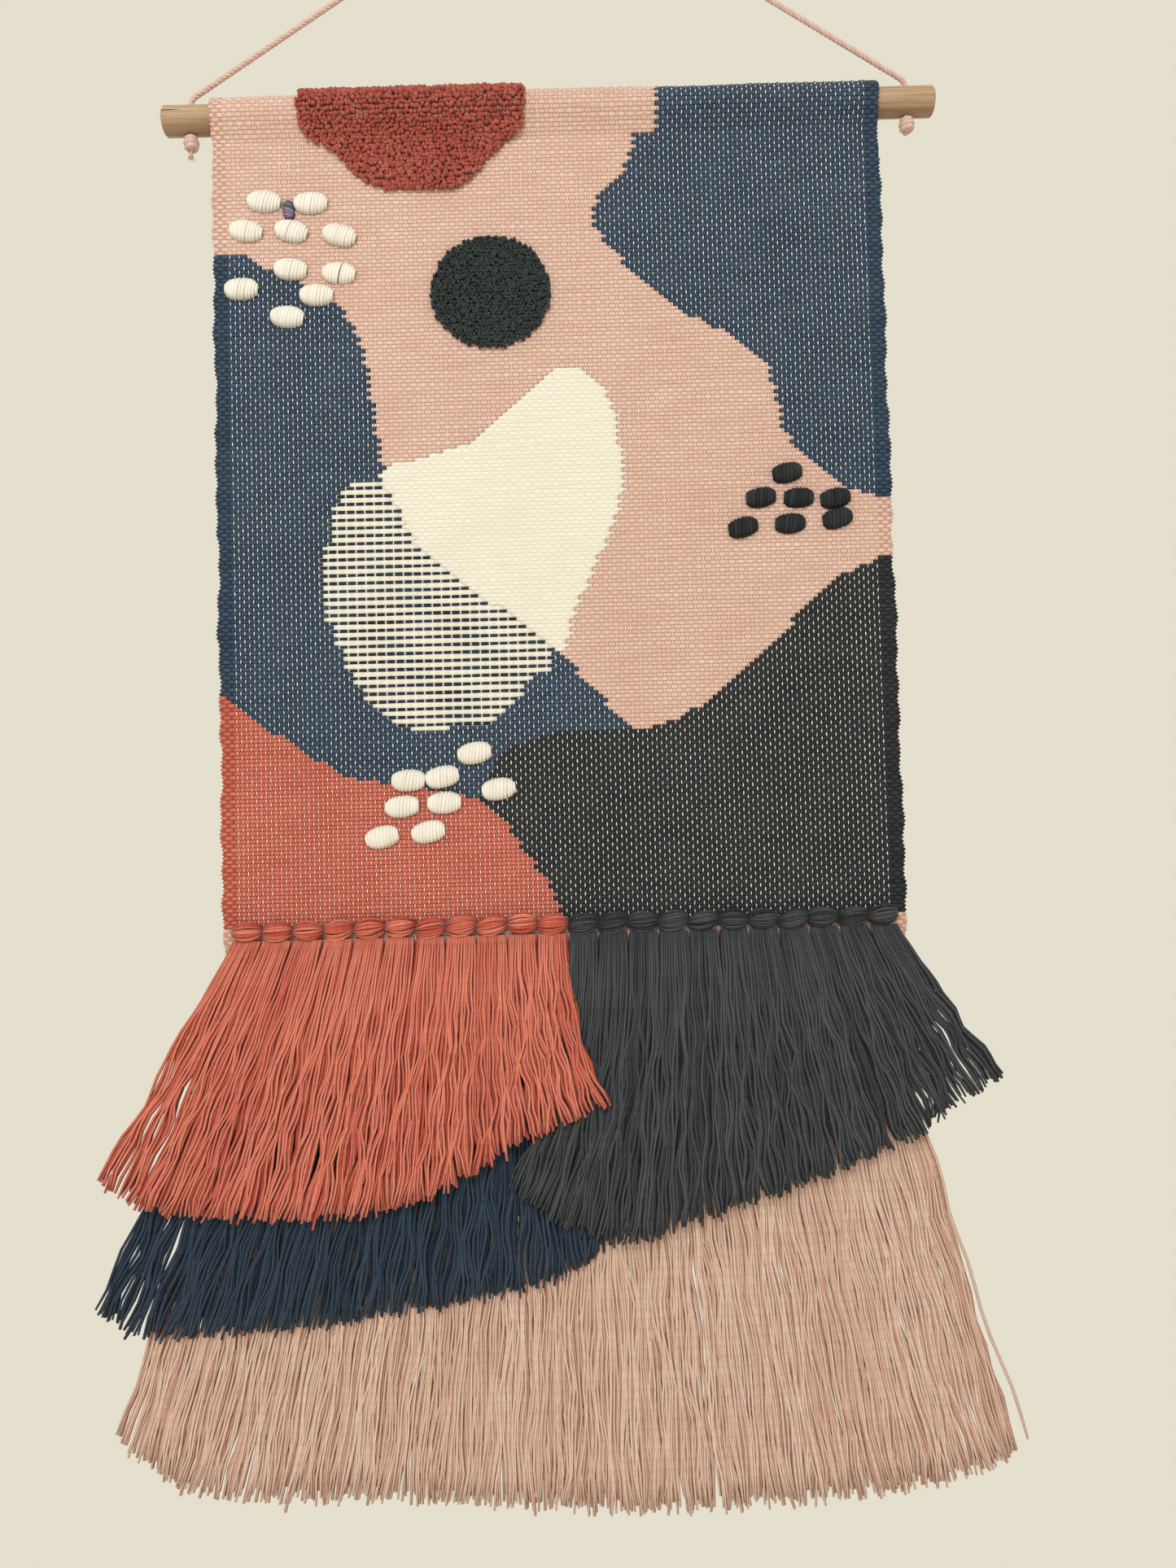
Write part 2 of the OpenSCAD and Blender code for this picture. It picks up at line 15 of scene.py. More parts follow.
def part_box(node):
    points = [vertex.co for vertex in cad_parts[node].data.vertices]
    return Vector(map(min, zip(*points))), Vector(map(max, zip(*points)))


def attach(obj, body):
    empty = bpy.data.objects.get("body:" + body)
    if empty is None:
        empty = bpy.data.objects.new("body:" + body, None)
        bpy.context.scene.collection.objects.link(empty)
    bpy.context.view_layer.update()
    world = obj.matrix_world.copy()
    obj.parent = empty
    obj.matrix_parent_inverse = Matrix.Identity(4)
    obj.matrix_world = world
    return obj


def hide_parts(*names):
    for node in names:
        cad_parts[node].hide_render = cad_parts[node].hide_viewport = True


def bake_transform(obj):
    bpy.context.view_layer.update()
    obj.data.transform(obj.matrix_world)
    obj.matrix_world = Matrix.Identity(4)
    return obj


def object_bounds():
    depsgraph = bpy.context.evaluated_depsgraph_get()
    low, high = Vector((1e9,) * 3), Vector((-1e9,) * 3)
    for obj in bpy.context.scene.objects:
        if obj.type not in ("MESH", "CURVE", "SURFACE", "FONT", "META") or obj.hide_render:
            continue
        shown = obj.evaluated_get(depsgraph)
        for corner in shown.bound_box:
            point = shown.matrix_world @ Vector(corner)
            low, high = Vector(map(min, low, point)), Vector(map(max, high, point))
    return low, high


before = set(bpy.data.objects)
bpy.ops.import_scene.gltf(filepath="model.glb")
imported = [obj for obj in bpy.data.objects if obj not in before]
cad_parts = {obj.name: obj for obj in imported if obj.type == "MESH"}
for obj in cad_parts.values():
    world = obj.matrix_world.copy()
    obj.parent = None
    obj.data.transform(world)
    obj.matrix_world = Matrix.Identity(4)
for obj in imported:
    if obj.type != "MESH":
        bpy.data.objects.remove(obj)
CAD_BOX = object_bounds()

LOG = logging.getLogger("wall_hanging")
MM = 0.001
# Points closer than this are one
WELD = 1e-5
# Rays start this far off, clear of the part
FAR = 1.0
# Inputs of a colour Mix node: the share, the first colour and the second
MIX_INPUTS = (0, 6, 7)
OUTWARD = Vector((0, -1, 0))
TOWARD_WALL = Vector((0, 1, 0))
UPWARD = Vector((0, 0, 1))


class Body(Enum):
    """Moving bodies that the pieces ride on."""

    HANGER = "hanger"
    SLEEVE = "sleeve"
    PANEL = "panel"
    RUST = "fringe_rust_body"
    SLATE = "fringe_slate_body"
    NAVY = "fringe_navy_body"
    PINK = "fringe_pink_body"


# ---- Finishes ----


def shade(code: str) -> tuple[float, float, float, float]:
    """Linear colour of a six-digit dye code.

    Args:
        code: Red, green and blue as two hexadecimal digits each.

    Returns:
        The colour as a shader socket takes it.
    """
    values = [int(code[i : i + 2], 16) / 255 for i in (0, 2, 4)]
    linear = [v / 12.92 if v <= 0.04045 else ((v + 0.055) / 1.055) ** 2.4 for v in values]
    return (linear[0], linear[1], linear[2], 1.0)


class Recipe:
    """Shader nodes of one material, added one at a time."""

    def __init__(self, name: str) -> None:
        """Starts an empty material of that name."""
        self.material = bpy.data.materials.new(name)
        self.material.use_nodes = True
        self.tree = self.material.node_tree
        self.tree.nodes.clear()
        self.place = self.add("TexCoord")

    def feed(self, socket: bpy.types.NodeSocket, value: object) -> None:
        """Links a socket to another one, or sets its value.

        Args:
            socket: The input that is fed.
            value: A node's output, or the value itself.
        """
        if isinstance(value, bpy.types.NodeSocket):
            self.tree.links.new(value, socket)
        else:
            socket.default_value = value

    def add(self, kind: str, sockets: dict | None = None, **settings: object) -> bpy.types.Node:
        """Adds a node.

        Args:
            kind: The node's type, without its ShaderNode prefix.
            sockets: What each input is fed, by name or number.
            settings: The node's own settings.

        Returns:
            The new node.
        """
        node = self.tree.nodes.new("ShaderNode" + kind)
        for key, value in settings.items():
            setattr(node, key, value)
        for key, value in (sockets or {}).items():
            self.feed(node.inputs[key], value)
        return node

    def math(self, operation: str, *values: object) -> bpy.types.NodeSocket:
        """Result of a Math node on the values.

        Args:
            operation: The node's operation.
            values: Its inputs in order.

        Returns:
            The node's output.
        """
        node = self.add("Math", operation=operation)
        for i, value in enumerate(values):
            self.feed(node.inputs[i], value)
        return node.outputs[0]

    def spread(
        self, value: object, low: float, high: float, to_low: float, to_high: float
    ) -> bpy.types.NodeSocket:
        """Value moved from one range to another and held inside it.

        Args:
            value: What is moved.
            low: Value that gives to_low.
            high: Value that gives to_high.
            to_low: Result at low.
            to_high: Result at high.

        Returns:
            The moved value.
        """
        names = {"Value": value, "From Min": low, "From Max": high}
        node = self.add("MapRange", {**names, "To Min": to_low, "To Max": to_high}, clamp=True)
        return node.outputs[0]

    def mix(self, factor: object, first: object, second: object) -> bpy.types.NodeSocket:
        """Colour between two colours.

        Args:
            factor: Share of the second colour.
            first: Colour at nought.
            second: Colour at one.

        Returns:
            The mixed colour.
        """
        node = self.add("Mix", data_type="RGBA")
        for i, value in zip(MIX_INPUTS, (factor, first, second)):
            self.feed(node.inputs[i], value)
        return node.outputs[2]

    def noise(self, scale: float, stretch: tuple = (1, 1, 1), detail: float = 2.0,
              vector: object = None) -> bpy.types.NodeSocket:
        """Noise over the piece.

        Args:
            scale: Waves per metre, or per unit of the vector.
            stretch: Scale along each axis.
            detail: Octaves.
            vector: Where the noise is read, the piece's own place unless given.

        Returns:
            The noise's value.
        """
        source = vector or self.place.outputs["Object"]
        spot = self.add("Mapping", {"Vector": source, "Scale": stretch})
        node = self.add("TexNoise", {"Vector": spot.outputs[0], "Scale": scale, "Detail": detail})
        return node.outputs["Fac"]

    def tint(self, name: str) -> bpy.types.NodeSocket:
        """Value of a mesh attribute."""
        return self.add("Attribute", attribute_name=name).outputs["Fac"]

    def bump(self, height: object, strength: float, distance: float) -> bpy.types.NodeSocket:
        """Normal raised by a height.

        Args:
            height: The height, from nought to one.
            strength: Share of the bump that shows.
            distance: Height of one, in metres.

        Returns:
            The normal.
        """
        sockets = {"Height": height, "Strength": strength, "Distance": distance}
        return self.add("Bump", sockets).outputs["Normal"]

    def surface(self, colour: object, normal: object, roughness: float = 0.9, sheen: float = 0.0,
                specular: float = 0.25) -> bpy.types.Material:
        """Closes the material with its shader.

        Args:
            colour: Base colour.
            normal: Normal that the bump gives.
            roughness: Roughness all over.
            sheen: Weight of the soft sheen.
            specular: Level of the gloss.

        Returns:
            The finished material.
        """
        gloss = {"Roughness": roughness, "Specular IOR Level": specular}
        soft = {"Sheen Weight": sheen, "Sheen Roughness": 0.5}
        node = self.add("BsdfPrincipled", {"Base Color": colour, "Normal": normal, **gloss, **soft})
        self.add("OutputMaterial", {"Surface": node.outputs[0]})
        return self.material


@dataclass(frozen=True)
class Dye:
    """Colours of a dyed yarn, from the painted shade of its crevices to its palest fibres."""

    name: str
    # Darkest colour: painted shade in grooves, dips and on yarn sides; also the darker fibres of warp
    # cotton and of a stripe's second colour
    deep: str
    body: str
    light: str
    slot: str
    sheen: float = 0.15
    # Share of painted shade on a spun yarn's sides, where it faces neither front nor back
    flank_shade: float = 0.8

    def woven(self, second: "Dye | None" = None) -> bpy.types.Material:
        """Beaten weft, with painted shade in the groove between picks and in the dip at each warp.

        Args:
            second: Dye of every other pick, where the cloth is striped.

        Returns:
            The material.
        """
        r = Recipe(f"woven_{self.name}")
        spot = r.add("SeparateXYZ", {0: r.place.outputs["UV"]})
        across, down = spot.outputs[0], spot.outputs[1]
        turn = r.math("SINE", r.math("MULTIPLY", down, math.pi))
        ridge = r.math("ABSOLUTE", turn)
        cross = r.math("MULTIPLY", r.math("SINE", r.math("MULTIPLY", across, math.pi)), turn)
        facing = r.math("MULTIPLY", cross, r.tint("side"))
        loop = r.spread(facing, 1.0, -1.0, 0.0, 1.0)
        # Painted shade mask: low in the groove between picks and where the weft dips under a warp
        full = r.math("MULTIPLY", r.spread(ridge, 0.05, 0.6, 0.1, 1.0),
                      r.spread(loop, 0.2, 0.6, 0.4, 1.0))
        row = r.add("CombineXYZ", {0: r.math("MULTIPLY", across, 0.11),
                                   1: r.math("MULTIPLY", r.math("FLOOR", down), 5.37)})
        streak = r.noise(1.0, vector=row.outputs[0], detail=1.0)
        fibre = r.noise(1.0, stretch=(500, 1500, 1500), detail=3.0)
        cloud = r.noise(14.0, detail=2.0)
        lift = r.math("ADD", r.math("MULTIPLY", streak, 0.6), r.math("MULTIPLY", cloud, 0.3))
        lift = r.math("ADD", lift, r.math("MULTIPLY", fibre, 0.35))
        light = r.spread(lift, 0.4, 0.85, 0.0, 1.0)
        body = r.mix(light, shade(self.body), shade(self.light))
        # Crests take the yarn's colour; elsewhere the deep colour is painted shade
        colour = r.mix(full, shade(self.deep), body)
        if second is not None:
            other = r.mix(light, shade(second.deep), shade(second.body))
            odd = r.math("MODULO", r.math("FLOOR", down), 2.0)
            oval = r.math("MULTIPLY", odd, r.spread(full, 0.3, 0.42, 0.0, 1.0))
            colour = r.mix(oval, colour, other)
        twist = r.math("SINE", r.math("MULTIPLY", r.math("ADD", across, down), math.tau * 2))
        height = r.math("ADD", r.math("MULTIPLY", full, 0.6), r.math("MULTIPLY", fibre, 0.3))
        height = r.math("ADD", height, r.math("MULTIPLY", twist, 0.05))
        return r.surface(colour, r.bump(height, 0.7, 0.7 * MM), sheen=self.sheen)

    def spun(self, turns: float = 150.0, root: float = 0.0) -> bpy.types.Material:
        """Twisted yarn that runs along its strand, with painted shade in its ply grooves, on its sides
        and, where asked, at its root.

        Args:
            turns: Turns of the twist in a metre.
            root: Length over which painted shade darkens the yarn where it starts, in metres.

        Returns:
            The material.
        """
        r = Recipe(f"spun_{self.name}_{int(root * 10000)}")
        spot = r.add("SeparateXYZ", {0: r.place.outputs["UV"]})
        around, along = spot.outputs[0], spot.outputs[1]
        angle = r.math("ADD", r.math("MULTIPLY", around, 2.0), r.math("MULTIPLY", along, turns))
        ply = r.math("SINE", r.math("MULTIPLY", angle, math.tau))
        fibre = r.noise(1.0, stretch=(1400, 1400, 500), detail=3.0)
        slow = r.noise(60.0, detail=1.0)
        mood = r.math("ADD", r.math("MULTIPLY", r.tint("tint"), 0.6), r.math("MULTIPLY", slow, 0.35))
        mood = r.math("ADD", mood, r.math("MULTIPLY", fibre, 0.3))
        colour = r.mix(r.spread(mood, 0.35, 1.05, 0.0, 1.0), shade(self.body), shade(self.light))
        # Painted shade on the yarn's sides, where it faces neither front nor back, as between
        # neighbouring yarns
        flank_shade = r.spread(r.math("ABSOLUTE", r.tint("facing")), 0.3, 0.98, self.flank_shade, 0.0)
        # Painted shade in the grooves between plies, joined with the side shade
        groove = r.math("MAXIMUM", r.spread(ply, -1.0, -0.2, 0.35, 0.0), flank_shade)
        # Painted shade at the root, down among the other yarns
        if root > 0:
            groove = r.math("MAXIMUM", groove, r.spread(along, 0.0, root, 1.0, 0.0))
        # The deep colour is painted in where these shade masks are high
        colour = r.mix(groove, colour, shade(self.deep))
        height = r.math("ADD", r.spread(ply, -1.0, 1.0, 0.0, 0.6), r.math("MULTIPLY", fibre, 0.4))
        return r.surface(colour, r.bump(height, 0.6, 0.35 * MM), sheen=self.sheen)


PINK = Dye("pink", "a6796a", "dab2a0", "efd0c2", "wool_pink")
PINK_FRINGE = Dye("pink_fringe", "874f39", "d3a894", "f7dfd0", "wool_pink", flank_shade=0.9)
NAVY = Dye("navy", "0a1320", "2f4157", "485b73", "wool_navy", 0.08)
NAVY_FRINGE = Dye("navy_fringe", "060d18", "1c2b3e", "40546c", "wool_navy", 0.08, flank_shade=0.95)
RUST = Dye("rust", "76281e", "c4604e", "de7e6a", "wool_rust")
RUST_FRINGE = Dye("rust_fringe", "6e160d", "ca5542", "fc9c84", "wool_rust", flank_shade=0.95)
BRICK = Dye("brick", "6a211d", "9e433a", "c46c5c", "wool_brick", flank_shade=0.0)
BLACK = Dye("black", "07090b", "24282c", "3c4044", "wool_black", 0.06)
BOUCLE = Dye("boucle", "10191a", "2c3536", "434c4e", "wool_black", 0.06, flank_shade=0.2)
SLATE = Dye("slate", "07090b", "2b2e34", "5c6067", "wool_slate", 0.08, flank_shade=0.95)
IVORY = Dye("ivory", "dcd5c4", "ede7d8", "f6f2e6", "wool_ivory")
WHITE = Dye("white", "cfc8bb", "f4efe5", "fffcf6", "wool_white", flank_shade=0.6)
VIOLET = Dye("violet", "2c2440", "554d6c", "a99bb0", "wool_violet", 0.08)
COTTON = Dye("cotton", "9c7f76", "d9b5a8", "ecd0c4", "cord_cotton", flank_shade=0.4)
WARP = Dye("warp", "e2ddd2", "f2eee4", "fffdf8", "warp_cotton")


def warp_cotton(near: Dye) -> bpy.types.Material:
    """Warp cotton whose dashes take a little of the wool round them.

    Args:
        near: Dye of the wool that tints it where the attribute says so.

    Returns:
        The material.
    """
    r = Recipe("warp_cotton")
    fibre = r.noise(1.0, stretch=(900, 900, 300), detail=2.0)
    white = r.mix(fibre, shade(WARP.deep), shade(WARP.light))
    colour = r.mix(r.tint("near"), white, shade(near.light))
    return r.surface(colour, r.bump(fibre, 0.3, 0.2 * MM), roughness=0.8)


@dataclass(frozen=True)
class Wood:
    """Light hardwood with a lengthwise grain, painted shade on its underside and a short crack."""

    pale: str = "c6a98a"
    mid: str = "ae8f70"
    dark: str = "77593f"

    def grained(self, axis_z: float, radius: float, left: float) -> bpy.types.Material:
        """Wood for a rod along X.

        Args:
            axis_z: Height of the rod's axis.
            radius: The rod's radius.
            left: Place of the rod's left end.

        Returns:
            The material.
        """
        r = Recipe("rod_wood")
        warp = r.noise(1.0, stretch=(6, 60, 60), detail=2.0)
        fine = r.noise(1.0, stretch=(25, 1500, 1500), detail=4.0)
        bands = r.noise(1.0, stretch=(5, 260, 260), detail=3.0)
        spot = r.add("SeparateXYZ", {0: r.place.outputs["Object"]})
        # Painted shade on the rod's underside, darkest at the bottom and fading above the axis
        low = r.spread(spot.outputs[2], axis_z - radius, axis_z + 0.2 * radius, 1.0, 0.0)
        grain = r.math("ADD", r.math("MULTIPLY", bands, 0.65), r.math("MULTIPLY", fine, 0.35))
        colour = r.mix(r.spread(grain, 0.38, 0.62, 0.0, 1.0), shade(self.mid), shade(self.pale))
        underside_shade = r.math("MULTIPLY", low, r.spread(warp, 0.35, 0.6, 0.35, 0.8))
        colour = r.mix(underside_shade, colour, shade(self.dark))
        pore = r.spread(fine, 0.36, 0.44, 0.6, 0.0)
        colour = r.mix(pore, colour, shade(self.dark))
        near = r.math("ABSOLUTE", r.math("SUBTRACT", spot.outputs[2], axis_z + 0.25 * radius))
        line = r.math("ADD", near, r.math("MULTIPLY", r.math("SUBTRACT", warp, 0.5), 2.2 * MM))
        thin = r.spread(line, 0.15 * MM, 0.5 * MM, 1.0, 0.0)
        reach = r.spread(spot.outputs[0], left + 9 * MM, left + 16 * MM, 1.0, 0.0)
        crack = r.math("MULTIPLY", thin, reach)
        colour = r.mix(crack, colour, shade("2e1d12"))
        height = r.math("SUBTRACT", grain, r.math("ADD", r.math("MULTIPLY", pore, 0.4), crack))
        return r.surface(colour, r.bump(height, 0.5, 0.4 * MM), roughness=0.55, specular=0.4)


# ---- Mesh kit ----


def link(mesh: bpy.types.Mesh, name: str, material: bpy.types.Material) -> bpy.types.Object:
    """Puts a mesh in the scene with its finish.

    Args:
        mesh: The finished mesh.
        name: The piece's name.
        material: Its finish.

    Returns:
        The new object, at the origin.
    """
    mesh.materials.append(material)
    mesh.shade_smooth()
    piece = bpy.data.objects.new(name, mesh)
    bpy.context.scene.collection.objects.link(piece)
    return piece


def settle(bm: bmesh.types.BMesh, name: str) -> bpy.types.Mesh:
    """Turns an edited shape into a mesh.

    Args:
        bm: The shape, which is freed.
        name: Name of the mesh.

    Returns:
        The new mesh.
    """
    mesh = bpy.data.meshes.new(name)
    bm.to_mesh(mesh)
    bm.free()
    return mesh


def lengths_along(line: np.ndarray) -> np.ndarray:
    """Length of a line from its start to each of its points.

    Args:
        line: The points in order.

    Returns:
        The lengths, the first of them nought.
    """
    steps = np.linalg.norm(np.diff(line, axis=0), axis=1)
    return np.concatenate([[0], np.cumsum(steps)])


def read(values: bpy.types.bpy_prop_collection, key: str, width: int = 1,
         kind: type = float) -> np.ndarray:
    """Values of a collection as an array.

    Args:
        values: The collection.
        key: Name of the value.
        width: Numbers in each value.
        kind: Type of the numbers.

    Returns:
        One row for each item, or a flat array where width is 1.
    """
    flat = np.empty(len(values) * width, dtype=kind)
    values.foreach_get(key, flat)
    return flat.reshape(-1, width) if width > 1 else flat


def mark(mesh: bpy.types.Mesh, name: str, values: np.ndarray) -> None:
    """Writes one value for each vertex.

    Args:
        mesh: The mesh that takes them.
        name: The attribute's name.
        values: The values in order.
    """
    layer = mesh.attributes.new(name, "FLOAT", "POINT")
    layer.data.foreach_set("value", values.astype(np.float32))


@dataclass(frozen=True)
class Tube:
    """A tube that strands are swept from, with its number of sides and rings."""

    sides: int
    rings: int

    def template(self) -> bpy.types.Mesh:
        """Upright tube of unit radius with its rings evenly spaced."""
        bm = bmesh.new()
        bmesh.ops.create_cone(bm, cap_ends=True, segments=self.sides, radius1=1, radius2=1, depth=1)
        upright = [e for e in bm.edges if abs(e.verts[0].co.z - e.verts[1].co.z) > 0.5]
        if self.rings > 2:
            bmesh.ops.subdivide_edges(bm, edges=upright, cuts=self.rings - 2, use_grid_fill=True)
        return settle(bm, "tube")

    def ring_of(self, template: bpy.types.Mesh) -> np.ndarray:
        """Number of the ring that each vertex of the tube is on."""
        heights = read(template.vertices, "co", 3)[:, 2]
        return np.rint((heights + 0.5) * (self.rings - 1)).astype(int)

    def sweep(self, name: str, paths: np.ndarray, radii: np.ndarray, tints: np.ndarray,
              across: np.ndarray) -> bpy.types.Mesh:
        """Sweeps one tube along each path.

        Args:
            name: Name of the mesh.
            paths: Places of the rings, by strand and ring.
            radii: Radius at each ring, by strand and ring.
            tints: One value for each strand, written as the attribute tint.
            across: Direction each strand never runs in, one for all or one for each.

        Returns:
            The mesh, with turns round the strand and metres along it as its UV map.
        """
        template = self.template()
        bm = bmesh.new()
        for _ in range(len(paths)):
            bm.from_mesh(template)
        mesh = settle(bm, name)
        unit = read(template.vertices, "co", 3)
        ring = self.ring_of(template)
        run = np.gradient(paths, axis=1)
        run /= np.maximum(np.linalg.norm(run, axis=2, keepdims=True), 1e-12)
        square = np.broadcast_to(np.asarray(across, dtype=float).reshape(-1, 1, 3), run.shape)
        side = np.cross(run, square)
        side /= np.maximum(np.linalg.norm(side, axis=2, keepdims=True), 1e-12)
        other = np.cross(run, side)
        turn = unit[:, 1, None] * side[:, ring] - unit[:, 0, None] * other[:, ring]
        spots = paths[:, ring] + radii[:, ring, None] * turn
        mesh.vertices.foreach_set("co", spots.astype(np.float32).ravel())
        steps = np.linalg.norm(np.diff(paths, axis=1), axis=2)
        along = np.concatenate([np.zeros((len(paths), 1)), np.cumsum(steps, axis=1)], axis=1)
        corner = read(template.loops, "vertex_index", kind=np.int32)
        around = (np.arctan2(unit[:, 1], unit[:, 0]) / math.tau % 1.0)[corner]
        for face in template.polygons:
            span = slice(face.loop_start, face.loop_start + face.loop_total)
            if np.ptp(around[span]) > 0.5:
                around[span] += around[span] < 0.5
        uv = np.empty((len(paths), len(corner), 2), dtype=np.float32)
        uv[:, :, 0] = around
        uv[:, :, 1] = along[:, ring[corner]]
        mesh.uv_layers.new(name="along").data.foreach_set("uv", uv.ravel())
        mark(mesh, "tint", np.repeat(tints, len(unit)))
        # How squarely each point faces front or back; spun yarns paint shade on their sides where it is
        # low
        mark(mesh, "facing", -turn[..., 1].ravel())
        mesh.update()
        bpy.data.meshes.remove(template)
        return mesh


class Solid:
    """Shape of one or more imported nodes, to place new pieces on."""

    def __init__(self, *nodes: str) -> None:
        """Merges the nodes' triangles and readies them for rays."""
        self.bm = bmesh.new()
        self.owner: list[int] = []
        for i, node in enumerate(nodes):
            self.bm.from_mesh(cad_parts[node].data)
            self.owner += [i] * (len(self.bm.faces) - len(self.owner))
        self.tree = BVHTree.FromBMesh(self.bm)

    def hit(self, origin: tuple, direction: Vector) -> tuple[Vector, int] | None:
        """First point that a ray meets.

        Args:
            origin: Where the ray starts.
            direction: Where it goes.

        Returns:
            The point and the number of the node it is on, or None.
        """
        spot, _, face, _ = self.tree.ray_cast(Vector(origin), direction)
        return None if spot is None else (spot, self.owner[face])

    def nearest(self, origin: tuple) -> int:
        """Number of the node that lies nearest to a point."""
        return self.owner[self.tree.find_nearest(Vector(origin))[2]]

    def islands(self) -> list[np.ndarray]:
        """Vertices of each separate solid, from left to right."""
        bmesh.ops.remove_doubles(self.bm, verts=self.bm.verts[:], dist=WELD)
        left = set(self.bm.verts)
        found = []
        while left:
            queue = [left.pop()]
            group = []
            while queue:
                vert = queue.pop()
                group.append(vert.co[:])
                for edge in vert.link_edges:
                    other = edge.other_vert(vert)
                    if other in left:
                        left.remove(other)
                        queue.append(other)
            found.append(np.array(group))
        return sorted(found, key=lambda g: g[:, 0].mean())


def smooth_noise(rng: np.random.Generator, *spots: np.ndarray) -> np.ndarray:
    """Slow waves between about -1 and 1.

    Args:
        rng: Source of the waves' directions and phases.
        spots: Coordinates, in waves.

    Returns:
        The waves' height at each spot.
    """
    total = np.zeros(np.broadcast(*spots).shape)
    for _ in range(5):
        phase = rng.uniform(0, math.tau)
        for spot in spots:
            phase = phase + spot * rng.uniform(0.4, 1.3) * rng.choice((-1, 1)) * math.tau
        total = total + np.sin(phase)
    return total / 3


# ---- Rod and cord ----


@dataclass
class Rod:
    """Wooden rod with its rounded ends."""

    node: str = "dowel_rod"

    def build(self) -> bpy.types.Object:
        """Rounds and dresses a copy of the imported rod."""
        low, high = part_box(self.node)
        radius = (high.y - low.y) / 2
        axis = high.z - radius
        bm = bmesh.new()
        bm.from_mesh(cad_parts[self.node].data)
        bmesh.ops.remove_doubles(bm, verts=bm.verts[:], dist=WELD)
        rims = [e for e in bm.edges if len(e.link_faces) == 2 and e.calc_face_angle(0) > 0.5
                and min(abs(v.co.x - x) for v in e.verts for x in (low.x, high.x)) < 2 * MM]
        bmesh.ops.bevel(bm, geom=rims, offset=0.5 * MM, offset_type="OFFSET", affect="EDGES",
                        segments=2, profile=0.5, material=-1)
        for edge in bm.edges:
            edge.smooth = edge.calc_face_angle(0) < 0.6
        mesh = settle(bm, "rod")
        piece = link(mesh, "rod", Wood().grained(axis, radius, low.x))
        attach(piece, Body.HANGER.value)
        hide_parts(self.node)
        return piece


